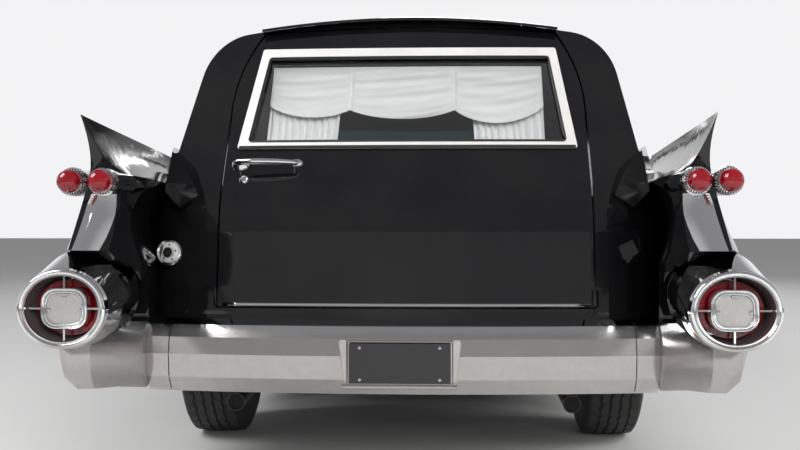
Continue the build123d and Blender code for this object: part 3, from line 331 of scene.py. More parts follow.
class Build:
    """Gathers vertices and faces of many small forms for one piece."""

    def __init__(self):
        self.verts = []
        self.faces = []

    def grid(self, rows, close=False, wrap=False):
        """A skin over rows of points. close joins each row's ends, wrap joins the last row to the first."""
        base = len(self.verts)
        count = len(rows[0])
        for row in rows:
            self.verts += [Vector(p) for p in row]
        for i in range(len(rows) if wrap else len(rows) - 1):
            for j in range(count if close else count - 1):
                a, b = base + i * count, base + (i + 1) % len(rows) * count
                k = (j + 1) % count
                self.faces.append((a + j, a + k, b + k, b + j))
        return base

    def cap(self, start, count, flip=False):
        ring = list(range(start, start + count))
        self.faces.append(tuple(reversed(ring)) if flip else tuple(ring))

    def tube(self, path, radius, sides, squash=1.0, up=UPWARD, closed=False):
        """A round or oval bar along a path."""
        rows = []
        for i, p in enumerate(path):
            p = Vector(p)
            before = Vector(path[i - 1]) if i or closed else p
            after = Vector(path[(i + 1) % len(path)]) if i < len(path) - 1 or closed else p
            along = (after - before).normalized()
            side = along.cross(up)
            side = side.normalized() if side.length > 1e-6 else SIDEWAYS
            top = side.cross(along).normalized()
            r = radius[i] if isinstance(radius, (list, tuple)) else radius
            rows.append([p + side * math.cos(a) * r + top * math.sin(a) * r * squash for a in turn(sides)])
        base = self.grid(rows, close=True, wrap=closed)
        if not closed:
            self.cap(base, sides, flip=True)
            self.cap(base + sides * (len(rows) - 1), sides)

    def box(self, low, high):
        x0, y0, z0 = low
        x1, y1, z1 = high
        base = self.grid([[(x0, y0, z0), (x1, y0, z0), (x1, y1, z0), (x0, y1, z0)],
                          [(x0, y0, z1), (x1, y0, z1), (x1, y1, z1), (x0, y1, z1)]], close=True)
        self.cap(base, 4, flip=True)
        self.cap(base + 4, 4)

    def ring(self, centre, axis, profile, sides, squash=(1.0, 1.0)):
        """A form turned about an axis that isn't upright. profile is (distance along the axis, radius) pairs."""
        axis = Vector(axis).normalized()
        u = axis.cross(UPWARD).normalized()
        v = u.cross(axis).normalized()
        rows = [[Vector(centre) + axis * d + (u * math.cos(a) * squash[0] + v * math.sin(a) * squash[1]) * r
                 for a in turn(sides)] for d, r in profile]
        self.grid(rows, close=True)

    def mirror(self):
        """Adds the same forms on the other side of the vehicle."""
        base = len(self.verts)
        self.verts += [Vector((-v.x, v.y, v.z)) for v in self.verts]
        self.faces += [tuple(base + i for i in reversed(f)) for f in list(self.faces)]

    def done(self, name, material, body="root", smooth=False):
        """Makes the piece and lets it ride a body."""
        mesh = bpy.data.meshes.new(name)
        mesh.from_pydata([tuple(v) for v in self.verts], [], self.faces)
        mesh.validate()
        for polygon in mesh.polygons:
            polygon.use_smooth = smooth
        obj = bpy.data.objects.new(name, mesh)
        scene.collection.objects.link(obj)
        mesh.materials.append(materials[material])
        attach(obj, body)
        return obj


def soften(obj, angle):
    """Smooth shading up to an edge angle."""
    for polygon in obj.data.polygons:
        polygon.use_smooth = True
    obj.data.set_sharp_from_angle(angle=math.radians(angle))


for name, node in nodes.items():
    soften(node, 50 if name.startswith("bumper_end") else 28)

TAIL_Y, TAIL_Z, TAIL_RAKE, TAIL_BOW, TAIL_HALF = -2.480, 0.960, 0.644, 0.050, 0.880


def on_tail(x, z, lift):
    """A point of the raked and bowed tail surface over the belt, moved forward by lift."""
    return x, TAIL_Y + TAIL_RAKE * (z - TAIL_Z) + TAIL_BOW * (x / TAIL_HALF) ** 2 + lift, z


def tree_of(*names):
    """The CAD surfaces of some nodes, for rays."""
    bm = bmesh.new()
    for name in names:
        mesh = nodes[name].data.copy()
        mesh.transform(nodes[name].matrix_world)
        bm.from_mesh(mesh)
        bpy.data.meshes.remove(mesh)
    tree = BVHTree.FromBMesh(bm)
    bm.free()
    return tree


# Camera, fitted to the photograph: level, low behind the rear door, turned a little to the left
CAMERA_PLACE = (0.1394, -5.9715, 0.842)
CAMERA_TURN = 0.0446
camera_data = bpy.data.cameras.new("camera")
camera_data.lens = 47.44
camera_data.sensor_width = 36.0
camera_data.clip_start = 0.05
camera = bpy.data.objects.new("camera", camera_data)
camera.location = CAMERA_PLACE
camera.rotation_euler = (math.pi / 2, 0, CAMERA_TURN)
scene.collection.objects.link(camera)
scene.camera = camera
scene.view_settings.view_transform = "Standard"

# Studio: a grey surround that brightens toward the front, a darker ceiling, soft lamps and a pale floor
world = bpy.data.worlds.new("studio")
scene.world = world
world.use_nodes = True
tree = world.node_tree
tree.nodes.clear()
coords = tree.nodes.new("ShaderNodeTexCoord")
split = tree.nodes.new("ShaderNodeSeparateXYZ")
tree.links.new(coords.outputs["Generated"], split.inputs["Vector"])


def sky_ramp(axis, stops):
    """Grey steps over one direction's component, from -1 to 1."""
    scaling = tree.nodes.new("ShaderNodeMapRange")
    scaling.inputs["From Min"].default_value = -1.0
    ramp = tree.nodes.new("ShaderNodeValToRGB")
    for k, (at, grey) in enumerate(stops):
        element = ramp.color_ramp.elements[k] if k < 2 else ramp.color_ramp.elements.new(at)
        element.position = at
        element.color = (grey, grey, grey * 1.015, 1)
    tree.links.new(split.outputs[axis], scaling.inputs["Value"])
    tree.links.new(scaling.outputs["Result"], ramp.inputs["Fac"])
    return ramp.outputs["Color"]


around = sky_ramp("Y", [(0.0, 0.46), (0.35, 0.62), (0.75, 0.86), (1.0, 0.90)])
above = sky_ramp("Z", [(0.60, 0.0), (0.72, 0.85), (1.0, 1.0)])
sky = tree.nodes.new("ShaderNodeMix")
sky.data_type = "RGBA"
sky.inputs[7].default_value = (0.24, 0.24, 0.25, 1)
background = tree.nodes.new("ShaderNodeBackground")
output = tree.nodes.new("ShaderNodeOutputWorld")
tree.links.new(above, sky.inputs[0])
tree.links.new(around, sky.inputs[6])
tree.links.new(sky.outputs[2], background.inputs["Color"])
tree.links.new(background.outputs["Background"], output.inputs["Surface"])
background.inputs["Strength"].default_value = 1.0

LAMP_SIZE = 4.0
MIRRORED_LAMPS = ("key", "front")
for name, place, power, aim in [
    ("key", (-5.5, -4.5, 6.0), 480, (0, -1.5, 0.6)),
    ("fill", (6.5, -2.5, 4.5), 300, (0, -1.0, 0.7)),
    ("rear", (1.8, -9.5, 3.6), 620, (0, -2.4, 1.0)),
    ("front", (1.0, 8.5, 5.5), 240, (0, 1.5, 0.6)),
]:
    light = bpy.data.lights.new(name, "AREA")
    light.size = LAMP_SIZE
    light.energy = power
    lamp = bpy.data.objects.new(name, light)
    lamp.location = place
    lamp.visible_glossy = name in MIRRORED_LAMPS
    lamp.rotation_euler = (Vector(aim) - Vector(place)).to_track_quat("-Z", "Y").to_euler()
    scene.collection.objects.link(lamp)

floor_shader = Shader("floor")
floor_colour = floor_shader.mix(floor_shader.noise(0.8, 3), (0.60, 0.60, 0.59), (0.64, 0.64, 0.63))
FLOOR_HALF = 60
floor_mesh = bpy.data.meshes.new("floor")
floor_mesh.from_pydata([(-FLOOR_HALF, -FLOOR_HALF, 0), (FLOOR_HALF, -FLOOR_HALF, 0),
                        (FLOOR_HALF, FLOOR_HALF, 0), (-FLOOR_HALF, FLOOR_HALF, 0)], [], [(0, 1, 2, 3)])
floor_mesh.materials.append(floor_shader.done(floor_shader.principled(Base_Color=floor_colour, Roughness=0.75)))
floor = bpy.data.objects.new("floor", floor_mesh)
scene.collection.objects.link(floor)


# Tyres with grooved tread and raised shoulder blocks, and turned wheel covers

TYRE_STEPS, TREAD_STEPS = 252, 40
TREAD_HALF, TREAD_RADIUS, TREAD_CROWN = 0.0905, 0.3848, 0.0055
GROOVES = (-0.055, -0.019, 0.019, 0.055)
SIDEWALL = [(0.0820, 0.1905), (0.0960, 0.2000), (0.1035, 0.2180), (0.1085, 0.2420), (0.1115, 0.2680),
            (0.1125, 0.2930), (0.1112, 0.3150), (0.1082, 0.3360), (0.1088, 0.3400), (0.1060, 0.3520),
            (0.1010, 0.3640), (0.0970, 0.3710)]


def tread_radius(x, step, angle):
    """Radius of the tread at a distance from the tyre's middle: crown, zigzag grooves and cross cuts."""
    radius = TREAD_RADIUS - TREAD_CROWN * (abs(x) / 0.09) ** 3
    zigzag = 0.0028 * math.sin(angle * 42)
    if any(abs(x - groove - zigzag) < 0.0036 for groove in GROOVES):
        radius -= 0.0070
    if abs(x) > 0.062 and step % 6 == 0:
        radius -= 0.0060
    if 0.024 < abs(x) < 0.050 and step % 6 == 3:
        radius -= 0.0032
    return radius


def tyre_piece(node_name, centre, side):
    rows = []
    for step, angle in enumerate(turn(TYRE_STEPS)):
        tread = [(x, tread_radius(x, step, angle)) for x in spread(TREAD_HALF, -TREAD_HALF, TREAD_STEPS)]
        row = SIDEWALL + tread + [(-x, r) for x, r in reversed(SIDEWALL)]
        rows.append([(centre[0] + side * x, centre[1] + math.sin(angle) * r, centre[2] + math.cos(angle) * r)
                     for x, r in row])
    b = Build()
    b.grid(rows, close=True, wrap=True)
    if side < 0:
        b.faces = [tuple(reversed(f)) for f in b.faces]
    obj = b.done(node_name + "_tread", "tyre_rubber", nodes[node_name]["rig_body"])
    soften(obj, 32)
    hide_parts(node_name)


def wheel_trim(node_name, centre, side):
    """A turned cover with a ring of small raised vanes."""
    axis = (side, 0, 0)
    b = Build()
    b.ring(centre, axis, [(0.0835, 0.1905), (0.0900, 0.1890), (0.0920, 0.1830), (0.0880, 0.1760), (0.0700, 0.1700),
                          (0.0840, 0.1640), (0.0860, 0.1600), (0.0740, 0.1450)], 96)
    b.ring(centre, axis, [(0.0740, 0.1450), (0.0690, 0.1150), (0.0800, 0.0960), (0.0860, 0.0900), (0.0930, 0.0620),
                          (0.1040, 0.0560), (0.1090, 0.0400), (0.1110, 0.0001)], 96)
    for angle in turn(30):
        rows = []
        for r, half, height in ((0.118, 0.0015, 0.071), (0.128, 0.0040, 0.0775),
                                (0.142, 0.0045, 0.0795), (0.150, 0.0015, 0.077)):
            rows.append([(centre[0] + side * (height - 0.006 * abs(o)),
                          centre[1] + math.sin(angle) * r + math.cos(angle) * o * half,
                          centre[2] + math.cos(angle) * r - math.sin(angle) * o * half) for o in (-1, 0, 1)])
        b.grid(rows)
    obj = b.done(node_name + "_cover", "wheel_cover", nodes[node_name]["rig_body"], smooth=True)
    soften(obj, 40)


for wheel in ("front_left", "front_right", "rear_left", "rear_right"):
    low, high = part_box("tyre_" + wheel)
    middle = [(a + b) / 2 for a, b in zip(low, high)]
    side = 1 if middle[0] > 0 else -1
    tyre_piece("tyre_" + wheel, middle, side)
    wheel_trim("rim_" + wheel, middle, side)


# Bullet lamps: toothed crown bezels and the chrome blade under them

b = Build()
for x in (-0.900, -0.815, 0.815, 0.900):
    centre = Vector((x, -3.088, 0.962))
    b.ring(centre, REARWARD, [(-0.012, 0.0402), (0.0, 0.0405), (0.004, 0.0390), (0.004, 0.0335)], 60)
    for angle in turn(30):
        out = Vector((math.cos(angle), 0, math.sin(angle)))
        around = Vector((-math.sin(angle), 0, math.cos(angle)))
        tooth = []
        for reach, radius, half in ((0.000, 0.0395, 0.0028), (0.010, 0.0385, 0.0026), (0.017, 0.0360, 0.0016)):
            p = centre + REARWARD * reach
            low, high = p + out * (radius - 0.006), p + out * radius
            tooth.append([low - around * half, high - around * half, high + around * half, low + around * half])
        base = b.grid(tooth, close=True)
        b.cap(base + 8, 4)
soften(b.done("lamp_crowns", "chrome"), 35)

b = Build()
rows = []
for z, x0, x1, y in [(0.928, 0.783, 0.846, -3.0735), (0.900, 0.782, 0.856, -3.0770), (0.870, 0.783, 0.862, -3.0860),
                     (0.840, 0.791, 0.869, -3.0945), (0.805, 0.803, 0.878, -3.1045), (0.772, 0.819, 0.888, -3.1140)]:
    rows.append([(x0 - 0.003, y + 0.030, z), (x0 - 0.004, y - 0.004, z), (x0 + 0.012, y - 0.012, z),
                 ((x0 + x1) / 2, y - 0.017, z),
                 (x1 - 0.012, y - 0.012, z), (x1 + 0.004, y - 0.004, z), (x1 + 0.003, y + 0.030, z)])
b.grid(rows)
b.mirror()
soften(b.done("lamp_blades", "chrome"), 50)

# Nacelle mouths: rolled bright lips, inner wall, lamp screws and raised frames round the reversing lamps
NACELLES = (-0.895, 0.895)
NACELLE_Z = 0.616


def rounded_loop(x, y, z, half_x, half_z, radius):
    """A rounded rectangle in rear view, as points of a closed path."""
    steps = 8
    points = []
    for sx, sz, start in ((1, 1, 0), (-1, 1, 1), (-1, -1, 2), (1, -1, 3)):
        for k in range(steps + 1):
            a = math.pi / 2 * (start + k / steps)
            points.append((x + sx * (half_x - radius) + math.cos(a) * radius, y,
                           z + sz * (half_z - radius) + math.sin(a) * radius))
    return points


lips, walls, screws, frames = Build(), Build(), Build(), Build()
for x in NACELLES:
    lips.tube([(x + math.cos(a) * 0.1135, -3.1868, NACELLE_Z + math.sin(a) * 0.0995) for a in turn(72)],
              0.0072, 10, up=FORWARD, closed=True)
    walls.ring((x, -3.178, NACELLE_Z), FORWARD, [(0.0, 1.0), (0.030, 0.985), (0.075, 0.90)], 72, (0.1008, 0.0888))
    for dx in (-0.043, 0.043):
        screws.ring((x + dx, -3.1635, 0.612), REARWARD,
                    [(0.0, 0.0052), (0.0022, 0.0048), (0.0034, 0.0026), (0.0036, 0.0001)], 16)
    screws.box((x - 0.008, -3.1672, 0.650), (x + 0.008, -3.1630, 0.656))
    frames.tube(rounded_loop(x, -3.1665, NACELLE_Z, 0.0600, 0.0520, 0.037), 0.0042, 8, up=FORWARD, closed=True)
    frames.tube(rounded_loop(x, -3.1660, NACELLE_Z, 0.0505, 0.0435, 0.030), 0.0022, 8, up=FORWARD, closed=True)
soften(lips.done("mouth_lips", "chrome"), 60)
walls.done("mouth_walls", "mouth_grey", smooth=True)
soften(screws.done("lamp_screws", "roller_steel"), 40)
soften(frames.done("lamp_frames", "chrome"), 60)

# Lock cap: bright rim, satin face and a dark keyhole ring, painted shade of the recess round the core
b = Build()
cap = Vector((-0.792, -2.467, 0.750))
cap_axis = Vector((-0.21, -0.97, 0.05)).normalized()
cap_side = cap_axis.cross(UPWARD).normalized()
cap_up = cap_side.cross(cap_axis)
b.ring(cap, cap_axis, [(-0.010, 0.0455), (0.003, 0.0465), (0.009, 0.0445), (0.011, 0.0405),
                       (0.007, 0.0365), (0.0055, 0.0345)], 60)
b.ring(cap, cap_axis, [(0.0118, 0.0175), (0.0150, 0.0170), (0.0155, 0.0150), (0.0125, 0.0140)], 40)
b.ring(cap, cap_axis, [(0.0120, 0.0085), (0.0160, 0.0080), (0.0168, 0.0001)], 24)
for angle in turn(5):
    a = angle + 0.4
    b.ring(cap + (cap_side * math.cos(a) + cap_up * math.sin(a)) * 0.0265 + cap_axis * 0.0058, cap_axis,
           [(0, 0.0034), (0.0022, 0.0030), (0.0026, 0.0001)], 12)
soften(b.done("lock_cap_rim", "chrome"), 45)
b = Build()
b.ring(cap, cap_axis, [(0.0057, 0.0344), (0.0064, 0.0340), (0.0064, 0.0172)], 48)
b.done("lock_cap_face", "satin_trim", smooth=True)
# A flat near-black ring: painted shade of the recess between the inner rim and the core
b = Build()
b.ring(cap, cap_axis, [(0.0128, 0.0141), (0.0124, 0.0084)], 40)
b.done("lock_cap_recess_shade", "gap_dark")

# Exhaust outlets: a thin rim round a dark mouth, a disc of painted shade in place of the pipe's hollow
rims, mouth_shades = Build(), Build()
for x in (-0.530, 0.530):
    outlet, slope = (x, -2.6416, 0.280), (0, -1, 0.03)
    rims.ring(outlet, slope, [(-0.010, 0.0272), (0.0080, 0.0278), (0.0088, 0.0270), (0.0080, 0.0255),
                              (0.0004, 0.0252)], 40)
    # A near-black disc just inside each rim: painted shade standing for the open pipe
    mouth_shades.ring(outlet, slope, [(0.0006, 0.0254), (0.0006, 0.0001)], 40)
soften(rims.done("exhaust_rims", "exhaust_steel"), 50)
mouth_shades.done("exhaust_mouths", "gap_dark")

# Blank plate in the bumper recess, with its bright holder
b = Build()
b.box((-0.1500, -2.8790, 0.3755), (0.1500, -2.8765, 0.4930))
b.done("plate", "plate_black")
b = Build()
b.tube([(-0.156, -2.8745, 0.499), (-0.156, -2.8805, 0.369), (0.156, -2.8805, 0.369), (0.156, -2.8745, 0.499)],
       0.0042, 8, up=FORWARD, closed=True)
b.tube([(-0.170, -2.878, 0.366), (0.170, -2.878, 0.366)], 0.0065, 10)
for x in (-0.118, 0.118):
    for z in (0.387, 0.481):
        b.ring((x, -2.8790, z), REARWARD, [(0, 0.0055), (0.0025, 0.0045), (0.003, 0.0001)], 14)
soften(b.done("plate_holder", "chrome"), 45)

# Rear door: bottom strip, lock button, handle plate and grip
b = Build()
door_skin = tree_of("rear_door")
strip = [door_skin.ray_cast(Vector((x, BEHIND, 0.5815)), FORWARD)[0] for x in spread(-0.600, 0.600, 24)]
b.tube([p + REARWARD * 0.0025 for p in strip], 0.0048, 8, squash=1.3)
b.done("door_strip", "chrome", "rear_door", smooth=True)
b = Build()
b.ring(on_tail(-0.5445, 0.993, 0.002), (0, -1, 0.55),
       [(0.0, 0.0165), (0.006, 0.0160), (0.0105, 0.0125), (0.0115, 0.0110), (0.0085, 0.0090), (0.0085, 0.0001)], 28)
b.ring(on_tail(-0.562, 1.046, 0.004), (0, -1, 0.45),
       [(0.0, 0.0270), (0.008, 0.0265), (0.014, 0.0215), (0.020, 0.0150), (0.024, 0.0110), (0.026, 0.0001)],
       32, (1.15, 0.95))
b.ring(on_tail(-0.372, 1.050, 0.004), (0, -1, 0.45),
       [(0.0, 0.0200), (0.008, 0.0190), (0.015, 0.0130), (0.018, 0.0001)], 28, (1.3, 0.8))
grip = [(-0.575, -2.450, 1.053), (-0.560, -2.459, 1.056), (-0.500, -2.463, 1.057),
        (-0.430, -2.462, 1.056), (-0.380, -2.456, 1.053), (-0.362, -2.444, 1.050)]
b.tube(grip, [0.006, 0.0105, 0.0115, 0.0115, 0.0105, 0.006], 14, squash=0.8)
soften(b.done("handle_trim", "chrome", "rear_door"), 50)

# Rubber seal inside the bright rear window frame
corners = [(-0.547, 1.127), (0.547, 1.127), (0.505, 1.451), (-0.505, 1.451)]
seal_path = []
for (x0, z0), (x1, z1) in zip(corners, corners[1:] + corners[:1]):
    seal_path += [on_tail(lerp(x0, x1, k / 10), lerp(z0, z1, k / 10), 0.008) for k in range(10)]
b = Build()
b.tube(seal_path, 0.0085, 8, up=FORWARD, closed=True)
b.done("rear_glass_seal", "seal", "rear_door", smooth=True)

# Drapes of the rear window: a swagged valance over two pleated panels
CLOTH_DEPTH = 0.064


def flat_size(rows):
    """The cut size of a gathered sheet, from the lengths along its rows and columns."""
    def length(points):
        return sum((Vector(q) - Vector(p)).length for p, q in zip(points, points[1:]))
    columns = list(zip(*rows))
    return sum(map(length, rows)) / len(rows), sum(map(length, columns)) / len(columns)


def cloth_sheet(name, rows, body):
    b = Build()
    b.grid(rows)
    obj = b.done(name, "curtain_satin", body, smooth=True)
    flat_size(rows)
    return obj


swag_ends = [(-0.497, 1.271), (-0.207, 1.254), (0.166, 1.252), (0.482, 1.266)]
swag_lows = [1.224, 1.216, 1.200]
swags = len(swag_lows)
VALANCE_TOP = 1.421
rows = []
for v in spread(0, 1, 56):
    row = []
    for part in spread(0, swags, 216):
        k = min(int(part), swags - 1)
        s = part - k
        (x0, z0), (x1, z1) = swag_ends[k:k + 2]
        x = lerp(x0, x1, s)
        hump = 4 * s * (1 - s)
        low = lerp(z0, z1, s) + (swag_lows[k] - (z0 + z1) / 2) * hump ** 0.8
        z = lerp(VALANCE_TOP, low, v)
        sag = v + 0.16 * hump * v * (1 - v)
        pouch = 0.020 * hump ** 0.5 * v ** 2.2 * (1 - 0.55 * max(0.0, v - 0.9) / 0.1)
        folds = 0.0055 * hump ** 0.6 * math.sin(2 * math.pi * (3.3 * sag + 0.25 * math.sin(5 * x + k))) * min(1, v * 3)
        folds += 0.0025 * math.sin(2 * math.pi * (6.1 * sag + x * 3.0 + k * 0.37)) * hump ** 0.3 * min(1, v * 3)
        pinch = sum(math.exp(-((x - xj) / 0.009) ** 2) for xj, _ in swag_ends[1:3]) * 0.010 * min(1, v * 5)
        ruffle = 0.002 * math.sin(x * 170) * math.exp(-(min(s, 1 - s) / 0.08) ** 2) * min(1, v * 4)
        row.append(on_tail(x, z, CLOTH_DEPTH - pouch - folds + pinch + ruffle))
    rows.append(row)
valance = cloth_sheet("rear_valance", rows, "rear_door")
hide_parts("rear_curtains")

REAR_PLEATS = 10
for side_name, top, bottom, seed in (("left", (-0.499, -0.236), (-0.499, -0.247), 3),
                                     ("right", (0.218, 0.484), (0.238, 0.482), 9)):
    rows = []
    for v in spread(0, 1, 28):
        z = lerp(1.415, 1.108, v)
        row = []
        for u in spread(0, 1, REAR_PLEATS * 12):
            x = lerp(lerp(top[0], bottom[0], v), lerp(top[1], bottom[1], v), u)
            wander = 0.25 * noise.noise(Vector((u * 5, v * 1.3, seed)))
            depth = 0.0085 * math.sin(2 * math.pi * (REAR_PLEATS * u + wander)) * (0.7 + 0.3 * v)
            depth += 0.003 * noise.noise(Vector((u * 30, v * 2, 5)))
            row.append(on_tail(x, z, CLOTH_DEPTH + 0.026 + depth))
        rows.append(row)
    cloth_sheet("rear_pleats_" + side_name, rows, "rear_door")

# Pleated curtains inside the long quarter windows, laid against the plain CAD curtain
SIDE_PLEATS = 26
side_tree = tree_of("side_curtains")
for side_name, sign in (("left", -1), ("right", 1)):
    rows = []
    for v in spread(0, 1, 16):
        z = lerp(1.462, 1.058, v)
        row = []
        for u in spread(0, 1, SIDE_PLEATS * 10):
            y = lerp(-0.828, lerp(-1.800, -1.880, v), u)
            hit = side_tree.ray_cast(Vector((0, y, z)), SIDEWAYS * sign)[0]
            x = abs(hit.x) if hit else 0.70
            wander = 0.2 * noise.noise(Vector((u * 9, v, 1)))
            depth = 0.008 + 0.007 * math.sin(2 * math.pi * (SIDE_PLEATS * u + wander))
            row.append((sign * (x + 0.002 + depth * 0.6), y, z))
        rows.append(row)
    panel = cloth_sheet("side_pleats_" + side_name, rows, "root")
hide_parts("side_curtains")

# Body trim, laid on the CAD surfaces by rays

def side_point(tree, sign, y, z, lift=0.0):
    """The outermost point of a panel at a station and height, moved out by lift."""
    place, normal = tree.ray_cast(Vector((sign * 1.6, y, z)), SIDEWAYS * -sign)[:2]
    return place + normal * lift if place else None


def run_along(tree, sign, y0, y1, z, lift, steps):
    points = [side_point(tree, sign, y, z, lift) for y in spread(y0, y1, steps)]
    return [p for p in points if p]


def rounded(outline, radius):
    """A closed outline with round corners, as evenly spread points."""
    spacing = 0.06
    points = []
    for i, corner in enumerate(outline):
        here, following = Vector(corner), Vector(outline[(i + 1) % len(outline)])
        before, after = Vector(outline[i - 1]) - here, following - here
        a, b = here + before.normalized() * radius, here + after.normalized() * radius
        points += [a * (1 - t) ** 2 + here * 2 * t * (1 - t) + b * t ** 2 for t in spread(0, 1, 5)]
        far = following - after.normalized() * radius
        cuts = max(1, int((far - b).length / spacing))
        points += [b + (far - b) * k / cuts for k in range(1, cuts)]
    return points


quarter_pane = tree_of("quarter_glass")


def beside_glass(point, sign):
    """A moulding point of the quarter window's lower edge, kept at the glass where the shoulder stands outside it."""
    if point.z > 1.15:
        return point
    pane = side_point(quarter_pane, sign, min(-0.86, max(-1.88, point.y)), max(point.z, 1.080))
    if point.z > 1.075 and abs(point.x - pane.x) < 0.04:
        return point
    return Vector((pane.x + sign * 0.020, max(point.y, -1.922), max(point.z, 1.069)))


windows = {
    "front_door": [(0.330, 1.065), (1.125, 1.065), (0.738, 1.440), (0.330, 1.440)],
    "side_door": [(-0.700, 1.065), (0.180, 1.065), (0.180, 1.440), (-0.700, 1.440)],
    "quarter": [(-1.930, 1.065), (-0.840, 1.065), (-0.840, 1.440), (-1.790, 1.440)],
}
# Each panel with its belt strip's ends, its sill strip's ends and steps, and its body
panel_runs = [
    ("fender", (3.030, 1.262), (1.840, 1.262, 10), "root"),
    ("front_door", (1.240, 0.266), (1.240, 0.266, 16), "front_door_{}"),
    ("side_door", (0.235, -0.760), (0.235, -0.760, 16), "side_door_{}"),
    ("quarter", (-0.782, -2.060), (-0.782, -1.180, 10), "root"),
]
BELT_Z, SILL_Z, PULL_Z = 0.905, 0.345, 0.850
FRAME_OUT = 0.009
for side_name, sign in (("left", -1), ("right", 1)):
    outward = SIDEWAYS * sign
    for panel, belt, sill, body in panel_runs:
        tree = tree_of(f"{panel}_{side_name}")
        b = Build()
        b.tube(run_along(tree, sign, *belt, BELT_Z, 0.0015, 30), 0.0075, 8)
        b.tube(run_along(tree, sign, *sill[:2], SILL_Z, 0.001, sill[2]), 0.011, 8)
        if panel in windows:
            window = windows[panel]
            middle = sum(y for y, _ in window) / len(window)
            outline = [(y + math.copysign(FRAME_OUT, y - middle), z + math.copysign(FRAME_OUT, z - 1.2))
                       for y, z in window]
            ring = [side_point(tree, sign, y, z) for y, z in rounded(outline, 0.034)]
            if panel == "quarter":
                ring = [beside_glass(p, sign) for p in ring]
            b.tube(ring, 0.0065, 8, up=SIDEWAYS, closed=True)
        soften(b.done(f"{panel}_{side_name}_trim", "chrome", body.format(side_name)), 50)
    # Door handles: a push-button pull near each door's free edge
    for panel, y in (("front_door", 0.385), ("side_door", 0.118)):
        tree = tree_of(f"{panel}_{side_name}")
        b = Build()
        foot_a, foot_b = side_point(tree, sign, y - 0.075, PULL_Z), side_point(tree, sign, y + 0.075, PULL_Z)
        out, sunk = outward * 0.032, outward * 0.002
        b.tube([foot_a - out * 0.2, foot_a + out * 0.8, foot_a * 0.75 + foot_b * 0.25 + out,
                foot_a * 0.25 + foot_b * 0.75 + out, foot_b + out * 0.8, foot_b - out * 0.2],
               [0.007, 0.008, 0.0095, 0.0095, 0.008, 0.007], 10)
        for foot in (foot_a, foot_b):
            b.ring(foot - sunk, outward, [(0, 0.0165), (0.004, 0.016), (0.008, 0.011), (0.009, 0.0001)], 20)
        b.ring(foot_b + FORWARD * 0.034 - sunk, outward,
               [(0, 0.011), (0.006, 0.0105), (0.007, 0.007), (0.0055, 0.0001)], 18)
        soften(b.done(f"{panel}_{side_name}_pull", "chrome", f"{panel}_{side_name}"), 50)

# Windshield moulding and wipers
glass_tree = tree_of("windshield", "roof")


def screen_point(x, z, lift):
    place, normal = glass_tree.ray_cast(Vector((x, 3.0, z)), REARWARD)[:2]
    return place + normal * lift


outline = rounded([(-0.779, 1.041), (0.779, 1.041), (0.648, 1.487), (-0.648, 1.487)], 0.036)
b = Build()
b.tube([screen_point(x, z, 0.001) for x, z in outline], 0.0085, 8, up=FORWARD, closed=True)
soften(b.done("windshield_moulding", "chrome"), 50)
arms, blades = Build(), Build()
for x in (-0.42, 0.06):
    pivot = screen_point(x, 1.066, 0.012)
    bend, tip = screen_point(x + 0.18, 1.083, 0.020), screen_point(x + 0.36, 1.098, 0.014)
    arms.tube([pivot - UPWARD * 0.028, pivot, bend, tip], [0.007, 0.006, 0.0045, 0.003], 8)
    low, high = screen_point(x + 0.17, 1.088, 0.007), screen_point(x + 0.49, 1.104, 0.007)
    blades.tube([low, (low + high) / 2, high], 0.0042, 6)
arms.done("wiper_arms", "chrome", smooth=True)
blades.done("wiper_blades", "seal", smooth=True)

# Front end: studs in the grille, lamp rims and hood strip
grille_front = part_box("grille")[1][1]
b = Build()
for count, z in ((23, 0.762), (23, 0.810), (39, 0.617)):
    for k in range(count):
        b.ring((0.044 * (k - (count - 1) / 2), grille_front - 0.0235, z), FORWARD,
               [(0.0, 0.0075), (0.004, 0.0070), (0.009, 0.0040), (0.0105, 0.0001)], 10)
soften(b.done("grille_studs", "chrome"), 40)
b = Build()
for side in (-1, 1):
    for x in (0.650, 0.812):
        b.ring((side * x, grille_front - 0.001, 0.786), FORWARD,
               [(-0.020, 0.0735), (0.0, 0.0755), (0.004, 0.0800), (0.003, 0.0860), (-0.006, 0.0868)], 48)
    for x in (0.690, 0.800):
        b.ring((side * x, 3.0328, 0.4575), FORWARD,
               [(0.0, 0.0545), (0.010, 0.0535), (0.013, 0.0505), (0.008, 0.0487)], 36)
soften(b.done("lamp_rims", "chrome"), 50)
hood_tree = tree_of("hood")
strip = [hood_tree.ray_cast(Vector((0, y, 1.6)), -UPWARD)[0] for y in spread(3.015, 1.800, 24)]
b = Build()
b.tube(strip, [0.010] * 2 + [0.0065] * 23, 8)
soften(b.done("hood_strip", "chrome", "hood"), 50)

# Second seams in the rear bumper's ends, and the rubber under the rear window
bumper_tree = tree_of("rear_bumper")
b = Build()
for x in (-0.700, 0.700):
    places = [bumper_tree.ray_cast(Vector((x, BEHIND, z)), FORWARD)[0] for z in spread(0.345, 0.548, 14)]
    b.tube([p + REARWARD * 0.0002 for p in places if p], 0.0014, 6, up=SIDEWAYS)
b.done("bumper_seams", "gap_dark", smooth=True)
b = Build()
b.tube([on_tail(x, 1.1085, -0.0075) for x in spread(-0.575, 0.575, 24)], 0.0062, 8)
b.done("window_sill_rubber", "seal", "rear_door", smooth=True)

# Front seat: cushion and back of channelled cloth, filled by a short cloth simulation
PAD_HALF, CHANNELS, SHELL_HALF = 0.665, 16, 0.685
FILL_FRAMES = 20


